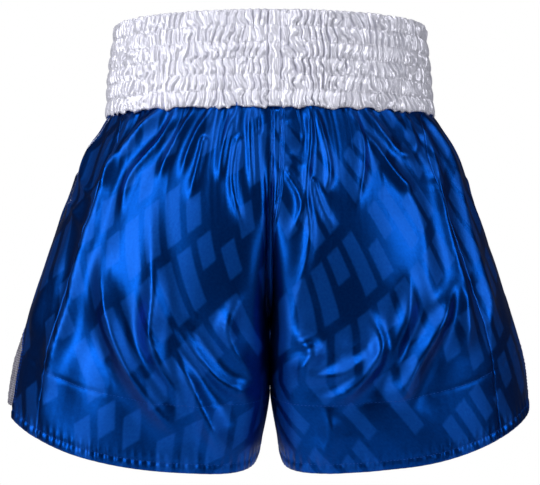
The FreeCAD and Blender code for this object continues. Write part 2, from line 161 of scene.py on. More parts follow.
def quarter_sections(z, side):
    """Sections of the body at heights z, from the side line over the crest and down the inner wall."""
    s = drop_share(z)
    in_band = z > -BAND_HEIGHT
    band_a, band_b = band_half_axes(z)
    fullness, growth = (BACK_FULLNESS, BACK_GROWTH) if side > 0 else (FRONT_FULLNESS, FRONT_GROWTH)
    a = np.where(in_band, band_a, SEAM_HALF_WIDTH + SIDE_FLARE * (1 - (1 - s) ** FLARE_POWER))
    b = np.where(in_band, band_b, SEAM_HALF_DEPTH + growth * s + fullness * np.sin(math.pi * s))
    start = BACK_RISE_START if side > 0 else FRONT_RISE_START
    rise = BACK_RISE_POWER if side > 0 else FRONT_RISE_POWER
    end = b * (1 - np.clip((start - z) / (start - CROTCH_Z), 0, 1) ** rise)
    to_crotch = np.clip((GUSSET_TIP_Z - z) / (GUSSET_TIP_Z - CROTCH_Z), 0, 1)
    below = smooth((CROTCH_Z - z) / GUSSET_BLEND)
    edge = lerp(GUSSET_HALF_WIDTH * to_crotch, LEG_GAP, below)
    parting = smooth(s / PARTING_SHARE)
    pinch = smooth((PINCH_START_Z - z) / PINCH_RUN)
    leg_share = np.clip((LEGS_PART_Z - z) / (LEGS_PART_Z - LOW_Z), 0, None)
    leg_gap = (LEG_GAP - CLOSEST_HALF_GAP) * leg_share ** LEG_GAP_POWER
    wall = (lerp(VALLEY_HALF_WIDTH, CLOSEST_HALF_GAP, pinch) + leg_gap) * parting
    crest = wall + (FIRST_CREST + CREST_SPREAD * smooth(CREST_RATE * s)) * parting
    turn = np.minimum(FLOOR_TURN + GUSSET_TURN * edge / GUSSET_HALF_WIDTH, (b - end) / 2)
    nil = np.zeros_like(z)
    power = (2.0 / (2.0 + SQUARENESS * s))[:, None]
    xs, ys = quarter_arc((a, nil), (a, b), (crest, b), power)
    inner_xs, inner_ys = quarter_arc((crest, b), (wall, b), (wall, end + turn), CREST_POWER)
    share = np.linspace(0, 1, 24)[None, :]
    t = math.pi / 2 * share
    upright = smooth(to_crotch)[:, None]
    wall, edge, end, turn = (v[:, None] for v in (wall, edge, end, turn))
    last_xs = lerp(edge + (wall - edge) * np.cos(t), lerp(wall, edge, smooth(share)), upright)
    last_ys = lerp(end + turn * (1 - np.sin(t)), end + turn * (1 - share), upright)
    return np.hstack([xs, inner_xs, last_xs]), side * np.hstack([ys, inner_ys, last_ys])


TABLE_ROWS, TABLE_COLUMNS = 420, 600
TABLE_Z = np.linspace(BODY_TOP + 2 * MM, LOW_Z - 4 * MM, TABLE_ROWS)


def surface_table():
    """The sections at even shares of their length, front and back joined, and each one's length."""
    table = np.zeros((TABLE_ROWS, 2 * TABLE_COLUMNS + 1, 2))
    lengths = {}
    shares = np.linspace(0, 1, TABLE_COLUMNS + 1)
    for side in (-1, 1):
        xs, ys = quarter_sections(TABLE_Z, side)
        steps = np.cumsum(np.hypot(np.diff(xs), np.diff(ys)), 1)
        run = np.concatenate([np.zeros((TABLE_ROWS, 1)), steps], 1)
        lengths[side] = run[:, -1].copy()
        for row in range(TABLE_ROWS):
            x = np.interp(shares * run[row, -1], run[row], xs[row])
            y = np.interp(shares * run[row, -1], run[row], ys[row])
            columns = TABLE_COLUMNS + side * np.arange(TABLE_COLUMNS + 1)
            table[row, columns, 0], table[row, columns, 1] = x, y
    return table, lengths


TABLE, LENGTHS = surface_table()


def quarter_length(z, side):
    return np.interp(-z, -TABLE_Z, LENGTHS[side])


def body_point(f, z):
    """Point of the smooth body surface at (f, z), read from the table between its four neighbours."""
    row = (TABLE_Z[0] - z) / (TABLE_Z[0] - TABLE_Z[-1]) * (TABLE_ROWS - 1)
    row = np.clip(row, 0, TABLE_ROWS - 1.001)
    column = np.clip((f + 1) * TABLE_COLUMNS, 0, 2 * TABLE_COLUMNS - 0.001)
    r, c = row.astype(int), column.astype(int)
    tr, tc = (row - r)[..., None], (column - c)[..., None]
    above = lerp(TABLE[r, c], TABLE[r, c + 1], tc)
    below = lerp(TABLE[r + 1, c], TABLE[r + 1, c + 1], tc)
    xy = lerp(above, below, tr)
    return np.concatenate([xy, z[..., None]], -1)


def body_normal(f, z):
    """Unit normal away from the wearer, from steps of the surface along f and z."""
    df, dz = 0.004, 1.0 * MM
    across = body_point(np.minimum(f + df, 1), z) - body_point(np.maximum(f - df, -1), z)
    down = body_point(f, z - dz) - body_point(f, z + dz)
    normal = np.cross(down, across)
    return normal / np.linalg.norm(normal, axis=-1, keepdims=True)


def hem_z(d):
    """Height of the hem at a distance from the side line: lowest in front and behind, rising to the side."""
    d = np.abs(d)
    side_rise = HEM_SIDE_RISE * bump(d, HEM_SWEEP)
    return LOW_Z + side_rise + HEM_INNER_RISE * smooth((d - HEM_INNER_START) / HEM_INNER_RUN)


def back_seam(z):
    return SIDE_PANEL_WIDTH - SEAM_DRAW * np.exp(-np.clip(-BAND_HEIGHT - z, 0, None) / SEAM_DRAW_FADE)


def vent_share(z):
    return np.clip((VENT_TOP_Z - z) / (VENT_TOP_Z - LOW_Z - HEM_SIDE_RISE), 0, None)


def vent_edge(hand, z):
    """Distance from the side line to the vent's back edge, which opens quickly and then hangs straight."""
    share = vent_share(z)
    return VENT_OPENING[hand] * share ** VENT_SPREAD * (VENT_FULLNESS - VENT_NARROWING * share)


# ---------------------------------------------------------------- folds of the body cloth
Fold = namedtuple("Fold", "height width points")
# Each fold is a ridge along a smooth line.  Points are (x, z) in millimetres seen from behind.
LEFT_FOLDS = [
    Fold(3.5, 4, [(113, -76), (129, -123), (137, -152)]),
    Fold(7.5, 6, [(85, -76), (103, -94), (128, -126), (142, -160), (158, -215), (172, -262), (182, -300),
                  (188, -345)]),
    Fold(4.0, 4, [(75, -76), (87, -104), (114, -137), (123, -176)]),
    Fold(4.0, 4, [(59, -76), (78, -113), (92, -142)]),
    Fold(3.5, 4, [(43, -76), (61, -106), (74, -142)]),
    Fold(3.0, 4, [(52, -102), (57, -126), (66, -160)]),
    Fold(3.5, 4, [(25, -76), (37, -113), (41, -146)]),
    Fold(3.5, 4, [(25, -100), (30, -142), (20, -184)]),
    Fold(3.0, 3, [(16, -76), (16, -109), (13, -162)]),
    Fold(3.0, 3, [(10, -76), (9, -122), (4, -190)]),
    Fold(11.0, 8, [(97, -140), (92, -226), (93, -271), (74, -311), (60, -350)]),
    Fold(12.0, 8, [(142, -185), (130, -243), (116, -284), (86, -328), (66, -352)]),
    Fold(10.0, 7, [(84, -255), (56, -318), (33, -374)]),
    Fold(7.0, 6, [(87, -240), (43, -298), (9, -314)]),
    Fold(6.0, 6, [(22, -226), (34, -265), (8, -310)]),
    Fold(3.5, 4, [(146, -94), (159, -135), (144, -148), (134, -94)]),
    Fold(3.0, 5, [(172, -154), (162, -168), (148, -188)]),
    Fold(5.0, 8, [(172, -190), (190, -235), (204, -276)]),
]
RIGHT_FOLDS = [
    Fold(4.0, 4, [(-31, -76), (-32, -109), (-29, -148), (-31, -193), (-15, -266)]),
    Fold(6.0, 6, [(-16, -255), (-34, -276), (-30, -287), (-20, -298)]),
    Fold(7.0, 6, [(-18, -300), (-57, -294), (-82, -276)]),
    Fold(11.0, 6.5, [(-74, -240), (-88, -268), (-81, -290), (-61, -309), (-34, -318)]),
    Fold(4.0, 4, [(-35, -76), (-47, -127), (-44, -154)]),
    Fold(3.0, 4, [(-34, -136), (-41, -161), (-52, -182)]),
    Fold(4.0, 4, [(-64, -76), (-75, -116), (-69, -168)]),
    Fold(4.0, 5, [(-76, -98), (-103, -137), (-120, -148)]),
    Fold(3.5, 4, [(-75, -76), (-101, -112), (-122, -121)]),
    Fold(3.0, 4, [(-110, -76), (-119, -102), (-121, -120)]),
    Fold(5.0, 5, [(-120, -80), (-135, -120), (-144, -168), (-162, -234), (-172, -266)]),
    Fold(5.0, 5, [(-125, -76), (-152, -123), (-167, -179), (-184, -240), (-179, -268)]),
    Fold(3.0, 5, [(-164, -130), (-172, -160), (-186, -190)]),
    Fold(11.0, 6.5, [(-158, -208), (-141, -245), (-126, -273), (-108, -306), (-100, -325)]),
    Fold(6.0, 5.5, [(-153, -216), (-159, -245), (-160, -285)]),
    Fold(8.0, 6.5, [(-113, -205), (-110, -248), (-102, -273), (-95, -320)]),
    Fold(6.0, 7, [(-44, -316), (-49, -345), (-38, -374)]),
    Fold(2.0, 5.2, [(-8, -90), (-18, -100), (-31, -109)]),
    Fold(2.0, 5.2, [(-8, -115), (-22, -124), (-33, -136)]),
    Fold(3.5, 4, [(-9, -127), (-23, -150), (-24, -167), (-14, -188)]),
]


def smooth_line(points, steps=60):
    """Catmull-Rom curve through listed points, in metres."""
    p = np.array(points, float) * MM
    p = np.vstack([2 * p[0] - p[1], p, 2 * p[-1] - p[-2]])
    t = np.linspace(0, len(p) - 3 - 1e-6, steps)
    i = t.astype(int)
    t = (t - i)[:, None]
    a, b, c, d = p[i], p[i + 1], p[i + 2], p[i + 3]
    square, cube = 2 * a - 5 * b + 4 * c - d, 3 * b - a - 3 * c + d
    return 0.5 * (2 * b + (c - a) * t + square * t ** 2 + cube * t ** 3)


BROAD_FOLD = 5
FOLD_REACH = 4
NARROW_START, BROAD_START, FOLD_END = 0.15, 0.4, 0.32
FOLD_TAPER = (0.8, 1.4)
SEWN_IN_ABOVE = -80
CREST_HEIGHT, CREST_SOFTNESS, CREST_WIDTH = 0.28, 0.8 * MM, 1.8 * MM
RIDGE_SOFTNESS = 1.5 * MM
ROUND_FROM_WIDTH, ROUND_RUN, MOST_ROUND, ROUND_WIDTH = 4.5, 3, 0.55, 1.35
TROUGH_DEPTH, TROUGH_WIDTH = 0.4, 2.8


def fold_height(folds, x, z, crest=False):
    """Sum of ridges along their lines, each with a shallow trough on both sides and fading at its ends.
    A ridge is e to the minus (distance / width), softened at the top, and a broad one is partly a bell.
    With crest, it is only the top few millimetres of the narrow ridges, which a coarse grid loses."""
    total = np.zeros_like(x)
    for fold in folds:
        if crest and fold.width > BROAD_FOLD:
            continue
        line = smooth_line(fold.points)
        reach = FOLD_REACH * fold.width * MM
        near = ((x > line[:, 0].min() - reach) & (x < line[:, 0].max() + reach)
                & (z > line[:, 1].min() - reach) & (z < line[:, 1].max() + reach))
        gap = np.hypot(x[near][:, None] - line[:, 0], z[near][:, None] - line[:, 1])
        nearest = gap.argmin(1)
        ahead = np.gradient(line, axis=0)[nearest]
        step = np.linalg.norm(ahead, axis=1)
        dx, dz = x[near] - line[nearest, 0], z[near] - line[nearest, 1]
        along = (dx * ahead[:, 0] + dz * ahead[:, 1]) / step ** 2
        aside = np.abs(dx * ahead[:, 1] - dz * ahead[:, 0]) / step
        inside = np.abs(along) <= 1
        distance = np.where(inside, aside, gap[np.arange(len(gap)), nearest])
        share = np.clip((nearest + np.where(inside, along, 0)) / (len(line) - 1), 0, 1)
        start = BROAD_START if fold.width > BROAD_FOLD else NARROW_START
        sewn_in = fold.points[0][1] > SEWN_IN_ABOVE
        fade = smooth(share / start + sewn_in) * smooth((1 - share) / FOLD_END)
        width = fold.width * MM * lerp(*FOLD_TAPER, share)
        if crest:
            shape = CREST_HEIGHT * np.exp(-np.hypot(distance, CREST_SOFTNESS) / CREST_WIDTH)
        else:
            soft = np.hypot(distance, RIDGE_SOFTNESS) - RIDGE_SOFTNESS
            sharp, rounded = np.exp(-soft / width), bump(distance, ROUND_WIDTH * width)
            roundness = np.clip((fold.width - ROUND_FROM_WIDTH) / ROUND_RUN, 0, MOST_ROUND)
            shape = lerp(sharp, rounded, roundness) - TROUGH_DEPTH * bump(distance, TROUGH_WIDTH * width)
        total[near] += fold.height * MM * fade * shape
    return total


GATHER_SEEDS = {LEFT: 11, RIGHT: 23}
FINE_SEEDS = {LEFT: 31, RIGHT: 43}
GATHER_FAN, GATHER_FAN_RUN = 0.14, 50 * MM
MIDDLE_GATHERS, MIDDLE_HEIGHT, MIDDLE_RUN = 17, 6.0 * MM, 40 * MM
BROAD_GATHERS, BROAD_HEIGHT, BROAD_RUN = 8.5, 6.5 * MM, 190 * MM
FINE_GATHERS, FINE_HEIGHT, FINE_RUN = 40, 1.2 * MM, 28 * MM


def gather_height(f, z, hand):
    """Gathers that fan out from the waist seam: sharp crest lines, the finer of which fade first."""
    below = np.clip(-BAND_HEIGHT - z, 0, None)
    side = np.where(f >= 0, 1, -1)
    q = 1 - np.abs(f)
    origin = q - GATHER_FAN * np.sin(math.pi * q) * (1 - np.exp(-below / GATHER_FAN_RUN))
    seed = GATHER_SEEDS[hand]
    w = side * origin
    waver = 0.16 * drift(w * 6 + 40, below * 22, seed + 5)
    out = (below + 1 * MM) / (below + 5 * MM)
    middle = crest_lines(wander(w * MIDDLE_GATHERS + 2 * waver + 60, seed + 1))
    broad = crest_lines(wander(w * BROAD_GATHERS + waver * 2 + 30, seed + 2), 0.2)
    middle = middle * np.exp(-below / MIDDLE_RUN)
    return out * (MIDDLE_HEIGHT * middle + BROAD_HEIGHT * broad * bump(below, BROAD_RUN))


def fine_height(f, z, hand):
    """The finest gathers, which fade out within a few centimetres of the waist seam."""
    below = np.clip(-BAND_HEIGHT - z, 0, None)
    side = np.where(f >= 0, 1, -1)
    w = side * (1 - np.abs(f))
    seed = FINE_SEEDS[hand]
    waver = 0.3 * drift(w * 9 + 40, below * 60, seed + 5)
    fine = crest_lines(wander(w * FINE_GATHERS + waver + 90, seed), 0.12)
    return FINE_HEIGHT * fine * np.exp(-below / FINE_RUN) * smooth((1 - np.abs(f)) / 0.05)


HANG_START_Z, HANG_RUN = -160 * MM, 120 * MM
SWELL_HEIGHT, SWELL_LINE_HEIGHT = 3.5 * MM, 1.0 * MM


def hang_height(x, z, hand):
    """Large soft hollows and swells low on the legs, drawn out along a slant."""
    below = smooth((HANG_START_Z - z) / HANG_RUN)
    turned = x * 0.75 - z * 0.6
    along = x * 0.6 + z * 0.75
    swell = drift(turned * 26 + 7 + 20 * hand, along * 11 + 30, 77)
    finer = crest_lines(drift(turned * 40 + 3, along * 9 + 11 + 20 * hand, 78), 0.3)
    return below * (SWELL_HEIGHT * swell + SWELL_LINE_HEIGHT * finer)


BILLOW = {LEFT: 2.5 * MM, RIGHT: 4.5 * MM}
BILLOW_Z, BILLOW_HEIGHT, BILLOW_SPREAD = -118 * MM, 30 * MM, 0.3
CALM_AT_SEAM, CALM_RUN = 0.3, 14 * MM
SIDE_BLEND = 20 * MM
NO_FOLD_HALF_WIDTH, FOLD_ROOM, CREST_ROOM = 1.5 * MM, 16 * MM, 10 * MM
LOW_START_Z, LOW_RUN = -150 * MM, 80 * MM
UPPER_FOLDS, LOW_FOLDS_MORE = 1.2, 0.2
FRONT_CHANCE, BACK_CHANCE, BACK_CHANCE_LOW_MORE = 0.8, 0.4, 0.35
CREST_END_Z, CREST_END_RUN = -200 * MM, 60 * MM


def seam_calm(z):
    """Folds start shallow under the waist seam and reach their full height a little below it."""
    return lerp(CALM_AT_SEAM, 1.0, smooth((-BAND_HEIGHT - z) / CALM_RUN))


def placed_folds(z, hand, point, crest=False):
    """Height of the listed folds: the front's and the back's, blended across the side line."""
    x = np.abs(point[..., 0]) * hand
    back = smooth(point[..., 1] / SIDE_BLEND)
    front_height = fold_height(FRONT_FOLDS[hand], x, z, crest)
    return lerp(front_height, fold_height(BACK_FOLDS[hand], x, z, crest), back)


def cloth_height(f, z, hand, point):
    """All folds at a place; they die out in the narrow space between the legs."""
    x = np.abs(point[..., 0]) * hand
    back = smooth(point[..., 1] / SIDE_BLEND)
    low = smooth((LOW_START_Z - z) / LOW_RUN)
    chance = gather_height(f, z, hand) + hang_height(x, z, hand)
    chance = chance * lerp(FRONT_CHANCE, BACK_CHANCE + BACK_CHANCE_LOW_MORE * low, back)
    placed = placed_folds(z, hand, point) * (UPPER_FOLDS + LOW_FOLDS_MORE * low) * seam_calm(z)
    billow = BILLOW[hand] * bump(z - BILLOW_Z, BILLOW_HEIGHT) * bump(f, BILLOW_SPREAD)
    room = smooth((np.abs(point[..., 0]) - NO_FOLD_HALF_WIDTH) / FOLD_ROOM)
    return (chance + placed + billow) * np.where(z < BACK_RISE_START - 5 * MM, room, 1.0)


def crest_height(z, hand, point):
    """The narrow tops of the folds, which end before the hem."""
    crest = placed_folds(z, hand, point, True) * seam_calm(z) * smooth((z - CREST_END_Z) / CREST_END_RUN)
    return crest * smooth((np.abs(point[..., 0]) - NO_FOLD_HALF_WIDTH) / CREST_ROOM)


FRONT_STRETCH = 0.93
FOLDS_TOP = -72


def mirrored(folds):
    """The other side's folds, swapped left for right and shortened a little below the waist seam."""
    return [Fold(fold.height, fold.width,
                 [(-x, FOLDS_TOP + (z - FOLDS_TOP) * FRONT_STRETCH) for x, z in fold.points])
            for fold in folds]


BACK_FOLDS = {LEFT: LEFT_FOLDS, RIGHT: RIGHT_FOLDS}
FRONT_FOLDS = {LEFT: mirrored(RIGHT_FOLDS), RIGHT: mirrored(LEFT_FOLDS)}


# ---------------------------------------------------------------- the cloth, cut flat and let settle
WAIST_CUT, HEM_CUT = 262 * MM, 410 * MM
CUT_LENGTH = 1.04
SIM_COLUMNS, SIM_ROWS = 220, 72
SIM_FRAMES = 20
HOLD_FREE, HOLD_HEM, HOLD_LEVELS = 0.4, 0.5, 24
SEAM_HOLD, WAIST_HOLD_SHARE, WAIST_HOLD_RUN, HEM_HOLD_SHARE = 16 * MM, 0.016, 0.03, 0.85


def sim_places():
    """Places of the simulated grid: even columns from front rise to back rise, even rows to the hem."""
    f = np.linspace(-1, 1, SIM_COLUMNS + 1)[None, :] + np.zeros((SIM_ROWS + 1, 1))
    share = np.linspace(0, 1, SIM_ROWS + 1)[:, None] + np.zeros((1, SIM_COLUMNS + 1))
    z = np.full(f.shape, BODY_TOP)
    for _ in range(5):
        z = BODY_TOP + (hem_z(place_distance(f, z)) - BODY_TOP) * share
    return f, share, z


def place_distance(f, z):
    return f * np.where(f >= 0, quarter_length(z, BACK), quarter_length(z, FRONT))


def cut_place(f, z):
    """Place in the flat cut: a quarter panel is a little wider at the hem than at the waist."""
    width = lerp(WAIST_CUT, HEM_CUT, np.clip((BODY_TOP - z) / (BODY_TOP - LOW_Z), 0, 1.1))
    return np.stack([f * width, z * CUT_LENGTH], -1)


def simulate():
    """Lets both halves of the body settle as cloth whose springs have the lengths of the flat cut.
    The seams and the waist are held fast, the rest is drawn part of the way back to its start."""
    f, share, z = sim_places()
    starts = []
    for hand in (LEFT, RIGHT):
        base, normal = body_point(f, z), body_normal(f, z)
        points = base + normal * cloth_height(f, z, hand, base)[..., None]
        points[..., 0] *= hand
        starts.append(points)
    count = f.size
    faces = grid_faces(SIM_ROWS + 1, SIM_COLUMNS + 1, False)
    mesh = bpy.data.meshes.new("settling")
    mesh.from_pydata(np.concatenate([p.reshape(-1, 3) for p in starts]).tolist(), [],
                     np.concatenate([faces, faces + count]).tolist())
    body = bpy.data.objects.new("settling", mesh)
    bpy.context.collection.objects.link(body)
    body.shape_key_add(name="start")
    cut = body.shape_key_add(name="cut")
    flat = np.concatenate([cut_place(f, z), np.zeros(f.shape + (1,))], -1).reshape(-1, 3)
    cut.data.foreach_set("co", np.concatenate([flat, flat]).reshape(-1).astype(np.float32))
    cut.value = 0
    seam_distance = (1 - np.abs(f)) * np.abs(place_distance(np.sign(f), z))
    at_seams = 1 - smooth(seam_distance / SEAM_HOLD)
    at_waist = 1 - smooth((share - WAIST_HOLD_SHARE) / WAIST_HOLD_RUN)
    elsewhere = lerp(HOLD_FREE, HOLD_HEM, smooth((share - HEM_HOLD_SHARE) / (1 - HEM_HOLD_SHARE)))
    hold = np.maximum(np.maximum(at_seams, at_waist), elsewhere).reshape(-1)
    level = np.round(np.concatenate([hold, hold]) * HOLD_LEVELS).astype(int)
    group = body.vertex_groups.new(name="held")
    for step in range(1, HOLD_LEVELS + 1):
        group.add(np.flatnonzero(level == step).tolist(), step / HOLD_LEVELS, "REPLACE")
    cloth = body.modifiers.new("settling", "CLOTH")
    settings = cloth.settings
    settings.quality = 5
    settings.mass = 0.002
    settings.tension_stiffness = 12
    settings.compression_stiffness = 12
    settings.shear_stiffness = 4
    settings.bending_stiffness = 0.5
    settings.air_damping = 3
    settings.vertex_group_mass = "held"
    settings.pin_stiffness = 1
    settings.rest_shape_key = cut
    cloth.collision_settings.use_collision = False
    cloth.point_cache.frame_start, cloth.point_cache.frame_end = 1, SIM_FRAMES
    for step in range(1, SIM_FRAMES + 1):
        bpy.context.scene.frame_set(step)
    settled = body.evaluated_get(bpy.context.evaluated_depsgraph_get()).data
    points = np.empty(2 * count * 3, np.float32)
    settled.vertices.foreach_get("co", points)
    points = points.reshape((2,) + f.shape + (3,)).astype(float)
    bpy.context.scene.frame_set(1)
    bpy.data.objects.remove(body)
    bpy.data.meshes.remove(mesh)
    return {LEFT: points[0], RIGHT: points[1]}


def curve_weights(t):
    """Catmull-Rom weights of the four neighbours at a share t between the middle two."""
    return [(-t + 2 * t ** 2 - t ** 3) / 2, (2 - 5 * t ** 2 + 3 * t ** 3) / 2,
            (t + 4 * t ** 2 - 3 * t ** 3) / 2, (t ** 3 - t ** 2) / 2]


def settled_point(settled, f, z):
    """Point of the settled cloth at (f, z): smooth curves through its grid in both directions."""
    hem = hem_z(place_distance(f, z))
    row = np.clip((BODY_TOP - z) / (BODY_TOP - hem), 0, 1) * SIM_ROWS
    column = np.clip((f + 1) / 2, 0, 1) * SIM_COLUMNS
    r = np.minimum(row.astype(int), SIM_ROWS - 1)
    c = np.minimum(column.astype(int), SIM_COLUMNS - 1)
    down, across = curve_weights(row - r), curve_weights(column - c)
    total = np.zeros(f.shape + (3,))
    for i in range(4):
        ri = np.clip(r + i - 1, 0, SIM_ROWS)
        for j in range(4):
            ci = np.clip(c + j - 1, 0, SIM_COLUMNS)
            total += settled[ri, ci] * (down[i] * across[j])[..., None]
    return total


# ---------------------------------------------------------------- materials
def new_material(name):
    material = bpy.data.materials.new(name)
    material.use_nodes = True
    nodes = material.node_tree.nodes
    nodes.clear()
    output = nodes.new("ShaderNodeOutputMaterial")
    shader = nodes.new("ShaderNodeBsdfPrincipled")
    material.node_tree.links.new(shader.outputs[0], output.inputs[0])
    return material, material.node_tree, shader


def math_node(tree, operation, a, b=None, clamp=False):
    """A Math node whose inputs are sockets or numbers; returns its output."""
    node = tree.nodes.new("ShaderNodeMath")
    node.operation = operation
    node.use_clamp = clamp
    for socket, value in zip(node.inputs, (a, b)):
        if value is None:
            continue
        if isinstance(value, (int, float)):
            socket.default_value = value
        else:
            tree.links.new(value, socket)
    return node.outputs[0]


def new_group(name, inputs, outputs):
    """A shader node group with named inputs (name, kind, default) and outputs (name, kind)."""
    group = bpy.data.node_groups.new(name, "ShaderNodeTree")
    for label, kind, default in inputs:
        socket = group.interface.new_socket(label, in_out="INPUT", socket_type=kind)
        if default is not None:
            socket.default_value = default
    for label, kind in outputs:
        group.interface.new_socket(label, in_out="OUTPUT", socket_type=kind)
    return group, group.nodes.new("NodeGroupInput"), group.nodes.new("NodeGroupOutput")


def weave_group():
    """Fine weave or knit: two crossed sine waves of the cloth coordinates, put out as a height."""
    group, given, out = new_group("cloth_weave", [("Vector", "NodeSocketVector", None),
                                                  ("Threads", "NodeSocketFloat", 900.0),
                                                  ("Slant", "NodeSocketFloat", 0.5)],
                                  [("Height", "NodeSocketFloat"), ("Fleck", "NodeSocketFloat")])
    tree = group
    split = tree.nodes.new("ShaderNodeSeparateXYZ")
    tree.links.new(given.outputs["Vector"], split.inputs[0])
    u = math_node(tree, "MULTIPLY", split.outputs[0], given.outputs["Threads"])
    v = math_node(tree, "MULTIPLY", split.outputs[1], given.outputs["Threads"])
    slanted = math_node(tree, "ADD", u, math_node(tree, "MULTIPLY", v, given.outputs["Slant"]))
    across = math_node(tree, "SINE", slanted)
    along = math_node(tree, "SINE", v)
    height = math_node(tree, "MULTIPLY", math_node(tree, "ADD", across, along), 0.5)
    tree.links.new(height, out.inputs["Height"])
    noise = tree.nodes.new("ShaderNodeTexNoise")
    tree.links.new(given.outputs["Vector"], noise.inputs["Vector"])
    noise.inputs["Scale"].default_value = 420.0
    noise.inputs["Detail"].default_value = 3.0
    tree.links.new(noise.outputs["Fac"], out.inputs["Fleck"])
    return group


BAR_PITCH, BAR_ROW_PITCH = 21 * MM, 58 * MM
BAR_TURN, BAR_LEAN, ROW_SLIDE = -38, 0.3, 0.37
BAR_SIDES, BAR_SIDE_EDGE, BAR_END_EDGE = (0.08, 0.86), 0.10, 0.04
BAR_FOOT_RAISED, RAISED_ABOVE = 0.38, 0.72
BAR_HEAD, BAR_HEAD_LOWERED, LOWERED_BELOW = 0.86, 0.34, 0.25
LEFT_OUT_BELOW = 0.12


def bars_group():
    """Tonal weave: rows of plain upright bars on the slant, of chance height, some left out.
    A bar fills its cell where its place across and its place up are both inside the bar's margins."""
    group, given, out = new_group("tonal_bars", [("Vector", "NodeSocketVector", None),
                                                 ("Bar Pitch", "NodeSocketFloat", BAR_PITCH),
                                                 ("Row Pitch", "NodeSocketFloat", BAR_ROW_PITCH)],
                                  [("Mask", "NodeSocketFloat")])
    tree = group
    turn = tree.nodes.new("ShaderNodeMapping")
    turn.inputs["Rotation"].default_value = (0, 0, math.radians(BAR_TURN))
    tree.links.new(given.outputs["Vector"], turn.inputs["Vector"])
    split = tree.nodes.new("ShaderNodeSeparateXYZ")
    tree.links.new(turn.outputs[0], split.inputs[0])
    row = math_node(tree, "DIVIDE", split.outputs[1], given.outputs["Row Pitch"])
    row_number = math_node(tree, "FLOOR", row)
    slide = math_node(tree, "MULTIPLY", row_number, ROW_SLIDE)
    lean = math_node(tree, "MULTIPLY", split.outputs[1], BAR_LEAN)
    leaning = math_node(tree, "SUBTRACT", split.outputs[0], lean)
    column = math_node(tree, "ADD", math_node(tree, "DIVIDE", leaning, given.outputs["Bar Pitch"]), slide)
    column_number = math_node(tree, "FLOOR", column)
    cell = tree.nodes.new("ShaderNodeCombineXYZ")
    tree.links.new(column_number, cell.inputs[0])
    tree.links.new(row_number, cell.inputs[1])
    chance = tree.nodes.new("ShaderNodeTexWhiteNoise")
    chance.noise_dimensions = "2D"
    tree.links.new(cell.outputs[0], chance.inputs["Vector"])
    chance_split = tree.nodes.new("ShaderNodeSeparateColor")
    tree.links.new(chance.outputs["Color"], chance_split.inputs[0])
    x = math_node(tree, "SUBTRACT", column, column_number)
    y = math_node(tree, "SUBTRACT", row, row_number)

    def inside(value, low, high, edge):
        rise = math_node(tree, "DIVIDE", math_node(tree, "SUBTRACT", value, low), edge, clamp=True)
        fall = math_node(tree, "DIVIDE", math_node(tree, "SUBTRACT", high, value), edge, clamp=True)
        return math_node(tree, "MULTIPLY", rise, fall)

    raised = math_node(tree, "GREATER_THAN", chance_split.outputs[0], RAISED_ABOVE)
    foot = math_node(tree, "MULTIPLY", raised, BAR_FOOT_RAISED)
    lowered = math_node(tree, "LESS_THAN", chance_split.outputs[0], LOWERED_BELOW)
    head = math_node(tree, "SUBTRACT", BAR_HEAD, math_node(tree, "MULTIPLY", lowered, BAR_HEAD_LOWERED))
    kept = math_node(tree, "GREATER_THAN", chance_split.outputs[1], LEFT_OUT_BELOW)
    across = inside(x, *BAR_SIDES, BAR_SIDE_EDGE)
    bar = math_node(tree, "MULTIPLY", across, inside(y, foot, head, BAR_END_EDGE))
    tree.links.new(math_node(tree, "MULTIPLY", bar, kept), out.inputs["Mask"])
    return group


WEAVE = weave_group()
BARS = bars_group()


def place_group(tree, group, **values):
    node = tree.nodes.new("ShaderNodeGroup")
    node.node_tree = group
    for label, value in values.items():
        socket = node.inputs[label.replace("_", " ")]
        if isinstance(value, (int, float)):
            socket.default_value = value
        else:
            tree.links.new(value, socket)
    return node


def cloth_vector(tree):
    """The piece's own cloth coordinates, in metres."""
    uv = tree.nodes.new("ShaderNodeUVMap")
    uv.uv_map = "cloth"
    return uv.outputs[0]


def bump_node(tree, height, strength, distance, shader):
    node = tree.nodes.new("ShaderNodeBump")
    node.inputs["Strength"].default_value = strength
    node.inputs["Distance"].default_value = distance
    tree.links.new(height, node.inputs["Height"])
    tree.links.new(node.outputs[0], shader.inputs["Normal"])


def mix_colour(tree, factor, dark, light):
    node = tree.nodes.new("ShaderNodeMix")
    node.data_type = "RGBA"
    tree.links.new(factor, node.inputs[0])
    for socket, value in ((node.inputs[6], dark), (node.inputs[7], light)):
        if isinstance(value, tuple):
            socket.default_value = (*value, 1)
        else:
            tree.links.new(value, socket)
    return node.outputs[2]


def blue_satin():
    """Shiny satin: blue through and through, with lighter, less shiny bars woven in and a fine weave."""
    material, tree, shader = new_material("blue_satin")
    vector = cloth_vector(tree)
    weave = place_group(tree, WEAVE, Vector=vector, Threads=9000.0, Slant=0.35)
    bars = place_group(tree, BARS, Vector=vector)
    ground = mix_colour(tree, weave.outputs["Fleck"], (0.000, 0.023, 0.165), (0.001, 0.050, 0.27))
    bar = mix_colour(tree, weave.outputs["Fleck"], (0.001, 0.042, 0.27), (0.003, 0.076, 0.39))
    tree.links.new(mix_colour(tree, bars.outputs["Mask"], ground, bar), shader.inputs["Base Color"])
    for socket, on_ground, on_bar in (("Roughness", 0.36, 0.45), ("Metallic", 0.97, 0.88)):
        blend = tree.nodes.new("ShaderNodeMapRange")
        tree.links.new(bars.outputs["Mask"], blend.inputs[0])
        blend.inputs[3].default_value, blend.inputs[4].default_value = on_ground, on_bar
        tree.links.new(blend.outputs[0], shader.inputs[socket])
    shader.inputs["Specular IOR Level"].default_value = 0.2
    bump_node(tree, weave.outputs["Height"], 0.10, 0.0002, shader)
    return material


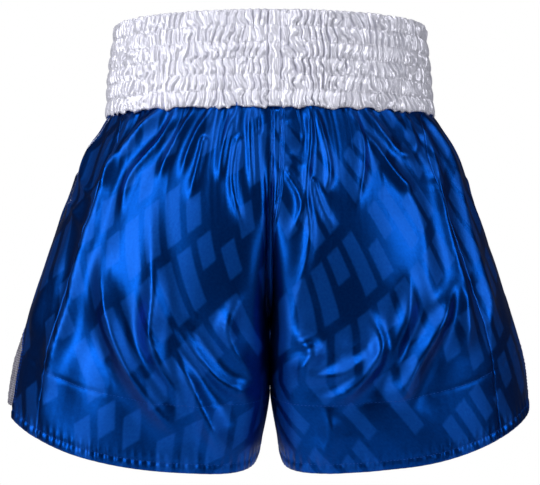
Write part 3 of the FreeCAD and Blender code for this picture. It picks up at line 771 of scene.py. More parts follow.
def white_satin():
    """White satin with a faint violet cast and a fine weave."""
    material, tree, shader = new_material("white_satin")
    vector = cloth_vector(tree)
    weave = place_group(tree, WEAVE, Vector=vector, Threads=7000.0, Slant=0.3)
    tree.links.new(mix_colour(tree, weave.outputs["Fleck"], (0.55, 0.55, 0.64), (0.69, 0.69, 0.78)),
                   shader.inputs["Base Color"])
    shader.inputs["Roughness"].default_value = 0.33
    shader.inputs["Metallic"].default_value = 0.25
    shader.inputs["Specular IOR Level"].default_value = 0.75
    bump_node(tree, weave.outputs["Height"], 0.15, 0.0002, shader)
    return material


def thread(name, dark, light):
    """Twisted sewing thread: a slanted wave along the stitch."""
    material, tree, shader = new_material(name)
    coordinates = tree.nodes.new("ShaderNodeTexCoord")
    weave = place_group(tree, WEAVE, Vector=coordinates.outputs["Object"], Threads=9000.0, Slant=1.0)
    tree.links.new(mix_colour(tree, weave.outputs["Fleck"], dark, light), shader.inputs["Base Color"])
    shader.inputs["Roughness"].default_value = 0.5
    shader.inputs["Specular IOR Level"].default_value = 0.2
    bump_node(tree, weave.outputs["Height"], 0.3, 0.0001, shader)
    return material


def knit(name, dark, light, threads, strength):
    """Knitted elastic, mesh or tape: coarser threads, with painted shade that darkens the colour down into
    the weave's hollows.
    """
    material, tree, shader = new_material(name)
    vector = cloth_vector(tree)
    weave = place_group(tree, WEAVE, Vector=vector, Threads=threads, Slant=0.0)
    # Painted shade: the weave's height runs from 0 in its hollows to 1 on its threads, and it mixes the dark
    # colour into the hollows.
    shade = math_node(tree, "MULTIPLY", math_node(tree, "ADD", weave.outputs["Height"], 1.0), 0.5)
    tree.links.new(mix_colour(tree, shade, dark, light), shader.inputs["Base Color"])
    shader.inputs["Roughness"].default_value = 0.7
    bump_node(tree, weave.outputs["Height"], strength, 0.0004, shader)
    return material


BLUE_SATIN = blue_satin()
WHITE_SATIN = white_satin()
BLUE_THREAD = thread("blue_thread", (0.0, 0.03, 0.2), (0.0, 0.07, 0.42))
WHITE_THREAD = thread("white_thread", (0.62, 0.62, 0.68), (0.8, 0.8, 0.86))
# In each knit material the darker colour is painted shade in the weave's hollows.
ELASTIC = knit("white_elastic", (0.6, 0.6, 0.62), (0.85, 0.85, 0.85), 3500.0, 0.4)
SILVER_MESH = knit("silver_mesh", (0.05, 0.05, 0.07), (0.24, 0.23, 0.28), 3200.0, 0.6)
LABEL_TAPE = knit("label_tape", (0.78, 0.78, 0.8), (0.88, 0.88, 0.9), 8000.0, 0.2)


# ---------------------------------------------------------------- meshes from grids
def grid_faces(rows, columns, wrap):
    """Quads between neighbouring rows and columns of a grid, joined round where it wraps."""
    across = columns if wrap else columns - 1
    r, c = np.meshgrid(np.arange(rows - 1), np.arange(across), indexing="ij")
    nxt = (c + 1) % columns
    here, below = r * columns, (r + 1) * columns
    quads = np.stack([here + c, below + c, below + nxt, here + nxt], -1)
    return quads.reshape(-1, 4)


def mesh_piece(name, vertices, faces, material, uv=None, face_uv=None):
    """A mesh object from arrays: vertices, quads, and the cloth coordinates of vertices or of corners."""
    mesh = bpy.data.meshes.new(name)
    mesh.from_pydata(vertices.reshape(-1, 3).tolist(), [], faces.tolist())
    if uv is not None or face_uv is not None:
        layer = mesh.uv_layers.new(name="cloth")
        if face_uv is None:
            face_uv = uv.reshape(-1, 2)[faces.reshape(-1)]
        layer.data.foreach_set("uv", face_uv.reshape(-1).astype(np.float32))
    mesh.materials.append(material)
    mesh.shade_smooth()
    piece = bpy.data.objects.new(name, mesh)
    bpy.context.collection.objects.link(piece)
    return piece


def thicken(piece, thickness):
    """Gives a sheet its thickness, inwards from the face side."""
    solidify = piece.modifiers.new("thickness", "SOLIDIFY")
    solidify.thickness = thickness
    solidify.offset = -1
    solidify.use_even_offset = False


def grid_normals(points):
    down, across = np.gradient(points, axis=0), np.gradient(points, axis=1)
    normal = np.cross(down, across)
    return normal / np.maximum(np.linalg.norm(normal, axis=-1, keepdims=True), 1e-12)


# ---------------------------------------------------------------- body panels
CLOTH_THICKNESS, LINING_THICKNESS = 0.5 * MM, 0.4 * MM
Panel = namedtuple("Panel", "name hand z points uv")


def panel_places(near, far, bottom, columns, rows, crowding):
    """Distances from the side line and heights of a grid whose columns fan between two edges."""
    share = 1 - (1 - np.linspace(0, 1, columns + 1)[None, :]) ** crowding
    down = np.linspace(0, 1, rows + 1)[:, None]
    z = np.full((rows + 1, columns + 1), BODY_TOP)
    for _ in range(5):
        d = near(z) + (far(z) - near(z)) * share
        z = BODY_TOP + (bottom(d) - BODY_TOP) * down
    return d, z


def as_share(d, z):
    return d / np.where(d >= 0, quarter_length(z, BACK), quarter_length(z, FRONT))


SEAM_DIP, SEAM_DIP_WIDTH = 0.35 * MM, 1.2 * MM
SEAM_PUCKER, SEAM_PUCKER_WIDTH = 0.5 * MM, 9 * MM
HEM_BEAD, HEM_PUCKER, HEM_PITCH = 0.4 * MM, 0.85 * MM, 7.5 * MM
HEM_GROOVE, HEM_GROOVE_WIDTH, HEM_PUCKER_WIDTH = 0.6 * MM, 1.4 * MM, 6 * MM
FACING_DIP, FACING_DIP_WIDTH = 0.35 * MM, 1.8 * MM
FELLED_WIDTH, FELLED_TOP_Z, FELLED_END_Z = 12 * MM, -84 * MM, -262 * MM
FELLED_HEIGHT, FELLED_GROOVE = 1.2 * MM, 0.8 * MM


def sewn_height(d, z, hand):
    """What sewing does: a groove along the side seam with puckers beside it, a rounded turned hem with a
    puckered line of stitching above it, and the flat felled band along the rise seam."""
    far = d - back_seam(z)
    puckers = drift(z * 190, d * 25, 61) * bump(far, SEAM_PUCKER_WIDTH)
    seam = -SEAM_DIP * bump(far, SEAM_DIP_WIDTH) + SEAM_PUCKER * puckers
    up = z - hem_z(d)
    uneven = 1.6 * wander(d / (24 * MM) + 400, 71)
    ripple = np.cos(2 * math.pi * d / HEM_PITCH + uneven) * (0.7 + 0.3 * wander(d / (9 * MM) + 250, 74))
    bead = HEM_BEAD * bump(up - HEM_TURN / 2, HEM_TURN * 0.55)
    groove = HEM_GROOVE * bump(up - HEM_TURN, HEM_GROOVE_WIDTH)
    hem = bead - groove + HEM_PUCKER * ripple * bump(up - HEM_TURN, HEM_PUCKER_WIDTH)
    unevenness = 1 + 0.8 * wander(d / (5 * MM) + 200, 72)
    facing = -FACING_DIP * bump(up - FACING_DEPTH, FACING_DIP_WIDTH) * unevenness
    inset = quarter_length(z, BACK) - d
    band = smooth((FELLED_WIDTH - inset) / (1.5 * MM)) * smooth((FELLED_TOP_Z - z) / (3 * MM) + 1)
    stitched = sum(bump(inset - place, 0.9 * MM) for place in RISE_STITCH_INSETS)
    dimples = stitched * (1 + 0.7 * wander(z / (2.2 * MM) + 300, 73))
    felled = (hand == RIGHT) * band * (FELLED_HEIGHT - FELLED_GROOVE * dimples)
    return seam + hem + facing * (d > 0) + felled * (z > FELLED_END_Z)


def cloth_frame(hand, d, z, lift=0.0):
    """Points and outward normals of the finished cloth at distances from the side line and heights.
    The normal is that of the settled cloth; along it go the fine gathers, the fold tops and the sewing."""
    step = 0.6 * MM
    f = as_share(d, z)
    here = settled_point(SETTLED[hand], f, z)
    across = (settled_point(SETTLED[hand], as_share(d + step, z), z)
              - settled_point(SETTLED[hand], as_share(d - step, z), z))
    down = settled_point(SETTLED[hand], f, z - step) - settled_point(SETTLED[hand], f, z + step)
    normal = np.cross(down, across) * hand
    normal /= np.maximum(np.linalg.norm(normal, axis=-1, keepdims=True), 1e-12)
    height = fine_height(f, z, hand) + crest_height(z, hand, body_point(f, z)) + sewn_height(d, z, hand)
    return here + normal * (0.4 * MM + height + lift)[..., None], normal


def shaped_panel(name, hand, d, z):
    points, _ = cloth_frame(hand, d, z)
    return Panel(name, hand, z, points, cut_place(as_share(d, z), z) * (hand, 1))


def back_panel(hand):
    d, z = panel_places(back_seam, lambda h: quarter_length(h, BACK), hem_z, 250, 180, 1.15)
    return shaped_panel(f"back_panel_{SIDE_NAMES[hand]}", hand, d, z)


def side_panel(hand):
    d, z = panel_places(lambda h: vent_edge(hand, h), back_seam, hem_z, 60, 190, 1.0)
    return shaped_panel(f"side_panel_{SIDE_NAMES[hand]}", hand, d, z)


def front_panel(hand):
    d, z = panel_places(lambda h: -VENT_FRONT_OPENING * vent_share(h), lambda h: -quarter_length(h, FRONT),
                        hem_z, 200, 150, 1.3)
    return shaped_panel(f"front_panel_{SIDE_NAMES[hand]}", hand, d, z)


def finish_piece(piece, node):
    """A piece rides with the root and stands for the node of the same part, which is hidden."""
    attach(piece, "root")
    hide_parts(node)


def make_panel(panel):
    rows, columns = panel.z.shape
    faces = grid_faces(rows, columns, False)
    outward = panel.hand if "front" not in panel.name else -panel.hand
    if outward < 0:
        faces = faces[:, ::-1]
    piece = mesh_piece(panel.name, panel.points, faces, BLUE_SATIN, uv=panel.uv)
    thicken(piece, CLOTH_THICKNESS)
    finish_piece(piece, panel.name)


# ---------------------------------------------------------------- what is sewn to the panels
STITCH_RINGS, STITCH_SIDES = 5, 6
BODY_STITCH = (2.9 * MM, 2.3 * MM, 0.22 * MM)
FACING_STITCH = (3.2 * MM, 2.4 * MM, 0.17 * MM)
BAND_STITCH = (3.0 * MM, 2.5 * MM, 0.25 * MM)
VENT_STITCH_INSETS = (1.6 * MM, 4.6 * MM)
RISE_STITCH_END_Z = -258 * MM


def stitches(points, normals, pitch, length, radius):
    """Stitches along a line: each is a small closed spindle bowed up off the cloth, one every pitch.
    Its rings grow and shrink like a sine, its middle stands highest, and its ends dip into the cloth."""
    run = np.concatenate([[0], np.cumsum(np.linalg.norm(np.diff(points, axis=0), axis=1))])
    places = np.arange(pitch / 2, run[-1], pitch)

    def along_line(values, where):
        return np.stack([np.interp(where, run, values[:, k]) for k in range(3)], 1)

    centre, up = along_line(points, places), along_line(normals, places)
    ahead = along_line(points, places + pitch / 4) - along_line(points, places - pitch / 4)
    ahead /= np.maximum(np.linalg.norm(ahead, axis=1, keepdims=True), 1e-12)
    sideways = np.cross(ahead, up)
    t = np.linspace(0.06, math.pi - 0.06, STITCH_RINGS)[:, None]
    turn = np.linspace(0, 2 * math.pi, STITCH_SIDES, endpoint=False)[None, :]
    along = -length / 2 * np.cos(t) + 0 * turn
    out = radius * np.sin(t) ** 0.6 * np.sin(turn) + radius * (2.2 * np.sin(t) - 1.4)
    aside = radius * np.sin(t) ** 0.6 * np.cos(turn)
    shape = (centre[:, None, None] + ahead[:, None, None] * along[None, ..., None]
             + up[:, None, None] * out[None, ..., None] + sideways[:, None, None] * aside[None, ..., None])
    quads = grid_faces(STITCH_RINGS, STITCH_SIDES, True)
    faces = quads[None] + (np.arange(len(centre)) * STITCH_RINGS * STITCH_SIDES)[:, None, None]
    return shape.reshape(-1, 3), faces.reshape(-1, 4)


def stitch_piece(name, rows, material):
    """One object from several rows of stitches."""
    vertices, faces, start = [], [], 0
    for points, quads in rows:
        vertices.append(points)
        faces.append(quads + start)
        start += len(points)
    piece = mesh_piece(name, np.concatenate(vertices), np.concatenate(faces), material)
    finish_piece(piece, name)


def hem_stitch_rows(hand):
    rows = []
    vent_back = vent_edge(hand, LOW_Z + HEM_SIDE_RISE)
    ends = ((vent_back + 1.5 * MM, BACK), (-VENT_FRONT_OPENING - 1.5 * MM, FRONT))
    for start, side in ends:
        far = side * (quarter_length(np.array([LOW_Z + 17 * MM]), side)[0] - 3 * MM)
        d = np.linspace(start, far, 900)
        points, normals = cloth_frame(hand, d, hem_z(d) + HEM_TURN, 0.1 * MM)
        rows.append(stitches(points, normals, *BODY_STITCH))
    inseam = quarter_length(np.array([LOW_Z + 60 * MM]), BACK)[0]
    d = np.linspace(back_seam(LOW_Z) + 1 * MM, inseam - 14 * MM, 900)
    points, normals = cloth_frame(hand, d, hem_z(d) + FACING_DEPTH, 0.05 * MM)
    rows.append(stitches(points, normals, *FACING_STITCH))
    return rows


def vent_stitch_rows(hand):
    rows = []
    for inset in VENT_STITCH_INSETS:
        z = np.linspace(VENT_TOP_Z + 4 * MM, LOW_Z + HEM_SIDE_RISE + 5 * MM, 300)
        for d in (vent_edge(hand, z) + inset, -VENT_FRONT_OPENING * vent_share(z) - inset):
            points, normals = cloth_frame(hand, d, z, 0.1 * MM)
            rows.append(stitches(points, normals, *BODY_STITCH))
    return rows


def rise_stitch_rows(hand, side):
    rows = []
    for inset in RISE_STITCH_INSETS:
        z = np.linspace(-BAND_HEIGHT - 1 * MM, RISE_STITCH_END_Z, 500)
        points, normals = cloth_frame(hand, side * (quarter_length(z, side) - inset), z, 0.15 * MM)
        rows.append(stitches(points, normals, *BODY_STITCH))
    return rows


def make_stitching():
    rows = {}
    for hand, side in SIDE_NAMES.items():
        rows[f"hem_stitching_{side}"] = hem_stitch_rows(hand)
        rows[f"vent_stitching_{side}"] = vent_stitch_rows(hand)
    rows["back_rise_stitching"] = rise_stitch_rows(RIGHT, BACK)
    rows["front_rise_stitching"] = rise_stitch_rows(LEFT, FRONT)
    for name, lines in rows.items():
        stitch_piece(name, lines, BLUE_THREAD)


def inner_layer(hand, d, z, depth):
    """Grid of a layer sewn behind the cloth, a little deeper than it."""
    f = as_share(d, z)
    points = settled_point(SETTLED[hand], f, z)
    normals = grid_normals(points) * hand
    return points - normals * depth, cut_place(f, z) * (hand, 1)


def make_facing(hand):
    """Second layer inside the back panel's hem, from the side seam to the inseam."""
    columns, rows = 120, 14
    hem_d, _ = panel_places(back_seam, lambda h: quarter_length(h, BACK), hem_z, columns, 1, 1.3)
    lift = FACING_DEPTH * np.linspace(1, 0.02, rows + 1)[:, None]
    z = hem_z(hem_d[-1:]) + lift
    d = np.minimum(hem_d[-1:] + 0 * z, quarter_length(z, BACK) - 1 * MM)
    points, uv = inner_layer(hand, d, z, 0.6 * MM)
    faces = grid_faces(rows + 1, columns + 1, False)
    name = f"back_hem_facing_{SIDE_NAMES[hand]}"
    piece = mesh_piece(name, points, faces if hand == LEFT else faces[:, ::-1], BLUE_SATIN, uv=uv)
    thicken(piece, LINING_THICKNESS)
    finish_piece(piece, name)


PLEAT_PITCH, PLEAT_HEIGHT = 6 * MM, 1.0 * MM


def make_vent_insert(hand):
    """Fan of knitted mesh behind the vent, with small upright pleats and a soft, uneven surface."""
    columns, rows = 60, 90
    share = np.linspace(0, 1, columns + 1)[None, :]
    z = np.linspace(VENT_TOP_Z - 2 * MM, LOW_Z + HEM_SIDE_RISE + 3 * MM, rows + 1)[:, None] + 0 * share
    low, high = -VENT_FRONT_OPENING * vent_share(z) - 5 * MM, vent_edge(hand, z) + 5 * MM
    d = low + (high - low) * share
    points, uv = inner_layer(hand, d, z, 1.0 * MM)
    normals = grid_normals(points) * hand
    phase = 2 * math.pi * d / PLEAT_PITCH + 0.8 * drift(d * 300, z * 60, 3)
    pleats = 0.9 * MM + PLEAT_HEIGHT * np.sin(phase)
    nap = 0.35 * MM * drift(d * 900 + 9, z * 900, 4)
    points = points + normals * (pleats * smooth(share / 0.1) * smooth((1 - share) / 0.1) + nap)[..., None]
    faces = grid_faces(rows + 1, columns + 1, False)
    name = f"vent_insert_{SIDE_NAMES[hand]}"
    piece = mesh_piece(name, points, faces if hand == LEFT else faces[:, ::-1], SILVER_MESH, uv=uv)
    thicken(piece, CLOTH_THICKNESS)
    finish_piece(piece, name)


def make_gusset():
    """Diamond between the legs: lines across plus lines down its edges, less the corners' blend."""
    steps = 24
    p = np.linspace(0, 1, steps + 1)
    z = lerp(GUSSET_TIP_Z, CROTCH_Z, p)
    edges = {(hand, side): settled_point(SETTLED[hand], np.full_like(z, side), z)
             for hand in (LEFT, RIGHT) for side in (BACK, FRONT)}
    back_left, back_right = edges[LEFT, BACK], edges[RIGHT, BACK]
    front_left, front_right = edges[LEFT, FRONT], edges[RIGHT, FRONT]
    a, b = p[:, None, None], p[None, :, None]
    across = back_left[:, None] * (1 - b) + front_right[::-1][:, None] * b
    down = back_right[None, :] * (1 - a) + front_left[::-1][None, :] * a
    corners = (back_left[0] * (1 - a) * (1 - b) + back_left[-1] * a * (1 - b)
               + back_right[-1] * (1 - a) * b + front_left[0] * a * b)
    points = across + down - corners
    uv = points[..., :2]
    piece = mesh_piece("crotch_gusset", points, grid_faces(steps + 1, steps + 1, False), BLUE_SATIN, uv=uv)
    thicken(piece, CLOTH_THICKNESS)
    finish_piece(piece, "crotch_gusset")


# ---------------------------------------------------------------- waistband
RIDGES = 112
RIDGE_LEAN, RIDGE_WAVER, RIDGE_DRIFT, RIDGE_SHIFT = 0.65, 0.8, 0.38, 0.3
MAIN_SHARE, FINER_SHARE, FINER_RATIO = 0.62, 0.38, 2.3
ARCS, ARC_HEIGHT, ARC_SINK, ARC_LIMITS = 44, 3.4 * MM, 2.6 * MM, (-3.2 * MM, 1.0 * MM)
PUCKER_HEIGHT, PUFF_HEIGHT = 2.8 * MM, 1.3 * MM
STRIP_HEIGHT, STRIP_GROOVE, STRIP_GROOVE_WIDTH = 2.0 * MM, 2.2 * MM, 0.9 * MM
JOIN_LEFT, JOIN_RIGHT = 1.6 * MM, -9 * MM


def oval_table():
    """Lengths along the waist oval, from centre back towards the wearer's left, and the angle at each."""
    angle = np.linspace(0, 2 * math.pi, 4001)
    x, y = SEAM_HALF_WIDTH * np.sin(angle), SEAM_HALF_DEPTH * np.cos(angle)
    run = np.concatenate([[0], np.cumsum(np.hypot(np.diff(x), np.diff(y)))])
    return run, angle


OVAL_RUN, OVAL_ANGLE = oval_table()


def band_point(share, z, offset):
    """Point of the waistband oval at a share of its length and a height, moved out by offset."""
    angle = np.interp(share * OVAL_RUN[-1], OVAL_RUN, OVAL_ANGLE)
    a, b = band_half_axes(z)
    direction = np.stack([b * np.sin(angle), a * np.cos(angle)], -1)
    direction /= np.linalg.norm(direction, axis=-1, keepdims=True)
    xy = np.stack([a * np.sin(angle), b * np.cos(angle)], -1) + direction * offset[..., None]
    return np.concatenate([xy, z[..., None]], -1)


def join_window(share, z):
    """How far a place is gathered, and how far it is on the flat strip of the centre-back join; sum 1."""
    x = band_point(share, z, np.zeros_like(z))[..., 0]
    behind = (share < 0.2) | (share > 0.8)
    inside = smooth((JOIN_LEFT + 2 * MM - x) / (2 * MM)) * smooth((x - JOIN_RIGHT + 2 * MM) / (3 * MM))
    return 1 - inside * behind, inside * behind


def channel_place(z):
    """How many channels lie above a height, with the part of the channel it is in."""
    return np.clip(-z / BAND_HEIGHT * CHANNELS, 0, CHANNELS - 1e-6)


def ridge_pattern(share, z, seed):
    """Puckers of the shirring: a wave round the band that leans one way in one channel and back in the
    next, wavers, and is mixed with finer puckers; 0 in the troughs and 1 on the crests."""
    channel = channel_place(z)
    number = np.floor(channel)
    lean = np.where(number % 2 == 0, channel - number, 1 - (channel - number)) - 0.5
    lean_size = RIDGE_LEAN * wander(share * 46 + number * 17.3, seed + 3)
    waver = RIDGE_WAVER * wander(share * RIDGES / 3, seed)
    waver = waver + RIDGE_DRIFT * drift(share * 70, channel * 2.2, seed + 1)
    shift = RIDGE_SHIFT * wander(share * 40 + number * 7.7 + 20, seed + 4)
    phase = share * RIDGES + lean * lean_size + waver + shift
    main = np.abs(np.cos(math.pi * phase)) ** 0.7
    finer_phase = phase * FINER_RATIO + 0.8 * wander(share * 97 + number, seed + 2)
    finer = np.abs(np.cos(math.pi * finer_phase)) ** 0.8
    return MAIN_SHARE * main + FINER_SHARE * finer


def seam_lift(share):
    """How far the seam with the body stands above its line: half the height of the body's gathers there,
    smoothed along the seam, plus a row of uneven arcs."""
    quarter = share * 4
    hand_left = quarter < 2
    f = np.where(hand_left, 1 - quarter, quarter - 3)
    z = np.full_like(f, -BAND_HEIGHT - 10 * MM)
    lifts = []
    for hand in (LEFT, RIGHT):
        base = body_point(f, z)
        lifts.append(cloth_height(f, z, hand, base) + 0.6 * fine_height(f, z, hand))
    lift = np.where(hand_left, lifts[0], lifts[1])
    lift = sum(np.roll(lift, k, axis=-1) for k in range(-6, 7)) / 13
    arcs = np.abs(np.cos(math.pi * (share * ARCS + 0.8 * wander(share * 30 + 30, 81))))
    uneven = 0.75 + 0.25 * wander(share * 60 + 10, 82)
    return np.clip(0.5 * lift + ARC_HEIGHT * arcs * uneven - ARC_SINK, *ARC_LIMITS)


def outer_wall_offset(share, z):
    """How far the outer wall stands off the oval: puckers that are fullest in the middle of each channel,
    and on the join a flatter strip with a groove at each edge."""
    channel = channel_place(z)
    inside = channel - np.floor(channel)
    puff = np.sin(math.pi * inside) ** 0.6
    gathered, strip = join_window(share, z)
    ridges = ridge_pattern(share, z, 5)
    size = 0.7 + 0.5 * drift(share * 50, channel, 9)
    crests = (PUCKER_HEIGHT + PUFF_HEIGHT * puff) * ridges ** 1.3
    height = 0.8 * MM + crests * (0.7 + 0.6 * size)
    x = band_point(share, z, np.zeros_like(z))[..., 0]
    seams = bump(x - JOIN_LEFT, STRIP_GROOVE_WIDTH) + bump(x - JOIN_RIGHT, STRIP_GROOVE_WIDTH)
    flat = STRIP_HEIGHT + 0.5 * height - STRIP_GROOVE * seams
    return height * gathered + flat * strip


BAND_COLUMNS, OUTER_ROWS, INNER_ROWS = 1040, 56, 24
BAND_CLOTH_LENGTH = 1.3
OUTER_SEED, INNER_SEED = 5, 31
TOP_FOLD, TOP_RUFFLE, TOP_FADE, LOW_FADE = 1.2 * MM, 1.2 * MM, 8 * MM, 11 * MM
INNER_OFFSET, INNER_PUFF = -1.6 * MM, 0.9 * MM


def outer_wall(share):
    """Outer wall from its scalloped lower edge up to the fold, and the ruffle of the fold's height."""
    low_to_high = np.linspace(0, 1, OUTER_ROWS)[:, None]
    z = np.minimum(-BAND_HEIGHT * (1 - low_to_high) + 0 * share, -TOP_FOLD)
    gathered, _ = join_window(share, np.full_like(share, -40 * MM))
    lift = seam_lift(share) * gathered
    pattern = ridge_pattern(share, np.full_like(share, -BAND_HEIGHT * 0.05), OUTER_SEED)
    ruffle = TOP_RUFFLE * (pattern - 0.5) * gathered
    points = band_point(share + 0 * z, z, outer_wall_offset(share + 0 * z, z))
    low_fade = smooth(1 - (z + BAND_HEIGHT) / LOW_FADE)
    top_fade = smooth(1 + (z + TOP_FOLD) / TOP_FADE)
    points[..., 2] += lift * low_fade + ruffle * top_fade
    return points, ruffle


def top_fold(share, ruffle):
    """Half a turn of cloth over the top edge, from the outer wall to the inner one."""
    turn = np.linspace(0, math.pi, 7)[1:-1][:, None]
    top_offset = outer_wall_offset(share, np.full_like(share, -TOP_FOLD))
    offset = lerp(INNER_OFFSET, top_offset, 0.5 + 0.5 * np.cos(turn))
    points = band_point(share + 0 * offset, np.zeros_like(offset), offset)
    points[..., 2] = -TOP_FOLD + TOP_FOLD * np.sin(turn) + ruffle
    return points


def inner_wall(share):
    """Inner wall, puffed a little inwards between the channel seams."""
    z = -TOP_FOLD - (BAND_HEIGHT - TOP_FOLD) * np.linspace(0, 1, INNER_ROWS)[:, None] + 0 * share
    puff = np.abs(np.sin(math.pi * -z / BAND_HEIGHT * CHANNELS)) ** 0.6
    offset = INNER_OFFSET - INNER_PUFF * puff * ridge_pattern(share + 0 * z, z, INNER_SEED)
    return band_point(share + 0 * z, z, offset)


def make_waistband():
    """One sheet carried round the oval along a folded profile: turned-in lower edge, outer wall, top fold
    and inner wall."""
    share = np.arange(BAND_COLUMNS)[None, :] / BAND_COLUMNS
    tuck = band_point(share, np.full_like(share, -BAND_HEIGHT), np.full_like(share, 1.3 * MM))
    tuck[..., 2] = -BAND_HEIGHT + 3 * MM
    outer, ruffle = outer_wall(share)
    profile = np.concatenate([tuck, outer, top_fold(share, ruffle), inner_wall(share)], 0)
    run = np.concatenate([[0], np.cumsum(np.linalg.norm(np.diff(profile[:, 0], axis=0), axis=-1))])
    uv = np.stack([share * BAND_CLOTH_LENGTH + 0 * run[:, None], run[:, None] + 0 * share], -1)
    faces = grid_faces(len(profile), BAND_COLUMNS, True)
    face_uv = uv.reshape(-1, 2)[faces.reshape(-1)].reshape(-1, 4, 2)
    column = faces % BAND_COLUMNS
    closing = (column == BAND_COLUMNS - 1).any(1) & (column == 0).any(1)
    wrapped = face_uv[closing]
    wrapped[..., 0] += BAND_CLOTH_LENGTH * (wrapped[..., 0] < BAND_CLOTH_LENGTH / 2)
    face_uv[closing] = wrapped
    piece = mesh_piece("waistband_casing", profile, faces, WHITE_SATIN, face_uv=face_uv)
    finish_piece(piece, "waistband_casing")


ELASTIC_HEIGHT, ELASTIC_THICKNESS = 10.5 * MM, 1.2 * MM


def make_elastic(number):
    """Ribbed elastic: a flat ring round the oval whose faces rise and fall in a fine wave along it."""
    node = f"waist_elastic_{number}"
    low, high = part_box(node)
    middle = (low.z + high.z) / 2
    columns, around = 720, 14
    share = np.arange(columns)[None, :] / columns
    turn = np.linspace(0, 2 * math.pi, around, endpoint=False)[:, None]
    z = middle + ELASTIC_HEIGHT / 2 * np.sign(np.cos(turn)) * np.abs(np.cos(turn)) ** 0.4 + 0 * share
    flat = np.sign(np.sin(turn)) * np.abs(np.sin(turn)) ** 0.4
    ribs = 1 + 0.18 * np.cos(2 * math.pi * share * 360)
    offset = -0.7 * MM + (ELASTIC_THICKNESS / 2 - 0.1 * MM) * flat * ribs
    points = band_point(share + 0 * z, z, offset)
    rows = np.concatenate([points, points[:1]])
    faces = grid_faces(around + 1, columns, True) % (around * columns)
    piece = mesh_piece(node, rows[:-1], faces, ELASTIC, uv=np.stack([share * 0.85 + 0 * z, z], -1))
    finish_piece(piece, node)


def make_channel_stitching():
    rows = []
    share = np.linspace(0, 1, 6001)
    for row in range(1, CHANNELS + 1):
        z = np.full_like(share, -BAND_HEIGHT * row / CHANNELS + (1.2 * MM if row == CHANNELS else 0))
        offset = outer_wall_offset(share, z) + 0.1 * MM
        points = band_point(share, z, offset)
        outward = band_point(share, z, offset + 1 * MM) - points
        outward /= np.linalg.norm(outward, axis=1, keepdims=True)
        rows.append(stitches(points, outward, *BAND_STITCH))
    stitch_piece("waistband_channel_stitching", rows, WHITE_THREAD)


def make_label():
    """Blank woven label: a thin slab whose free lower corners curl a little towards the wearer."""
    low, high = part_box("size_label")
    across = np.linspace(0, 1, 33)[None, :]
    down = np.linspace(0, 1, 25)[:, None]
    x = lerp(high.x, low.x, across) + 0 * down
    z = lerp(high.z, low.z, down) + 0 * across
    curl = 1.2 * MM * down ** 3 * np.abs(2 * across - 1) ** 2 + 0.15 * MM * np.sin(across * 9) * down
    points = np.stack([x, high.y - 0.1 * MM - curl, z], -1)
    uv = np.stack([x, z], -1)
    piece = mesh_piece("size_label", points, grid_faces(25, 33, False), LABEL_TAPE, uv=uv)
    thicken(piece, 0.3 * MM)
    finish_piece(piece, "size_label")


def make_buttonhole(hand):
    """Buttonhole binding: a long ring of close satin stitches, each a rib across the ring's roll."""
    node = f"drawcord_buttonhole_{SIDE_NAMES[hand]}"
    low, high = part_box(node)
    centre = (low + high) / 2
    half_width, half_height = (high.x - low.x) / 2, (high.z - low.z) / 2
    roll = half_width / 2.6
    around, along = 12, 288
    t = np.linspace(0, 2 * math.pi, along, endpoint=False)[None, :]
    r = np.linspace(0, 2 * math.pi, around, endpoint=False)[:, None]
    straight = half_height - half_width
    ribs = 1 + 0.12 * np.cos(t * 72)
    reach = half_width - roll + roll * ribs * np.cos(r) * 0.9
    x = centre.x + reach * np.sin(t)
    z = centre.z + reach * np.cos(t) + straight * np.clip(np.cos(t) * 1.6, -1, 1)
    y = centre.y + 0.75 * roll * ribs * np.sin(r) * 0.9
    points = np.stack([x, y, z], -1)
    faces = grid_faces(around + 1, along, True) % (around * along)
    piece = mesh_piece(node, points, faces, WHITE_THREAD)
    finish_piece(piece, node)


# ---------------------------------------------------------------- camera, light and floor
def make_camera():
    data = bpy.data.cameras.new("camera")
    data.sensor_width = 36
    data.lens = 90.2
    camera = bpy.data.objects.new("camera", data)
    camera.location = (0, 1.2, -0.19)
    camera.rotation_euler = (math.radians(90), 0, math.radians(180))
    bpy.context.collection.objects.link(camera)
    bpy.context.scene.camera = camera


def area_light(name, place, target, size, power):
    data = bpy.data.lights.new(name, "AREA")
    data.shape = "RECTANGLE"
    data.size, data.size_y = size
    data.energy = power
    light = bpy.data.objects.new(name, data)
    light.location = place
    light.rotation_euler = (Vector(target) - Vector(place)).to_track_quat("-Z", "Y").to_euler()
    bpy.context.collection.objects.link(light)


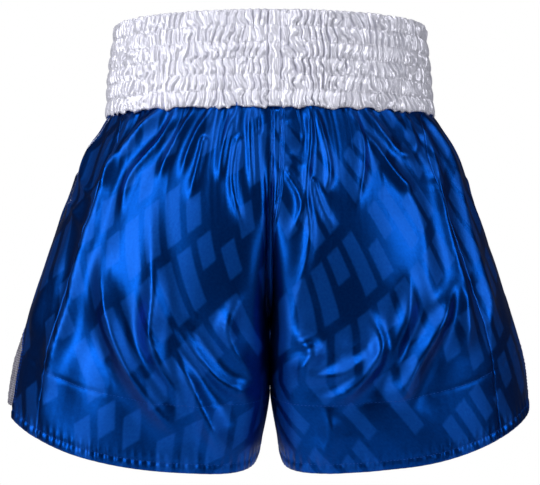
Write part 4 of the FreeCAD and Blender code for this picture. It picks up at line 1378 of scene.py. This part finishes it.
def make_studio():
    world = bpy.data.worlds.new("studio")
    bpy.context.scene.world = world
    world.use_nodes = True
    tree = world.node_tree
    tree.nodes.clear()
    output = tree.nodes.new("ShaderNodeOutputWorld")
    seen, lit = tree.nodes.new("ShaderNodeBackground"), tree.nodes.new("ShaderNodeBackground")
    seen.inputs[0].default_value = (1, 1, 1, 1)
    lit.inputs[0].default_value = (0.85, 0.88, 1, 1)
    seen.inputs[1].default_value, lit.inputs[1].default_value = 1.0, 0.06
    path, mix = tree.nodes.new("ShaderNodeLightPath"), tree.nodes.new("ShaderNodeMixShader")
    tree.links.new(path.outputs["Is Camera Ray"], mix.inputs[0])
    tree.links.new(lit.outputs[0], mix.inputs[1])
    tree.links.new(seen.outputs[0], mix.inputs[2])
    tree.links.new(mix.outputs[0], output.inputs[0])
    area_light("key", (1.25, 0.95, 0.50), (0.05, 0.1, -0.2), (0.35, 0.8), 11.5)
    area_light("low", (1.10, 1.10, -0.12), (0.05, 0.1, -0.28), (0.3, 0.5), 8)
    area_light("fill", (-1.25, 0.95, 0.25), (-0.05, 0.1, -0.2), (0.25, 0.9), 11)
    area_light("top", (0.2, 0.85, 1.2), (0, 0.1, -0.2), (0.7, 0.3), 12)
    area_light("front", (0.25, -1.45, 0.5), (0, 0, -0.2), (1.0, 0.8), 14)
    bpy.context.scene.view_settings.view_transform = "Standard"


def make_floor():
    """A round pale floor under the object: a fan of rings out to its radius."""
    radius, z = 0.95, LOW_Z - 0.25
    turn = np.linspace(0, 2 * math.pi, 97)[:-1][None, :]
    out = np.linspace(0.001, radius, 8)[:, None]
    points = np.stack([out * np.cos(turn), out * np.sin(turn), z + 0 * out * turn], -1)
    material, _, shader = new_material("floor")
    shader.inputs["Base Color"].default_value = (0.86, 0.86, 0.86, 1)
    shader.inputs["Roughness"].default_value = 0.9
    floor = mesh_piece("floor", points, grid_faces(8, 96, True), material)


make_camera()
make_studio()
make_floor()

SETTLED = simulate()
for hand in (LEFT, RIGHT):
    for panel in (back_panel(hand), side_panel(hand), front_panel(hand)):
        make_panel(panel)
make_waistband()
make_gusset()
make_stitching()
for hand in (LEFT, RIGHT):
    make_facing(hand)
    make_vent_insert(hand)
    make_buttonhole(hand)
for number in range(1, CHANNELS + 1):
    make_elastic(number)
make_channel_stitching()
make_label()
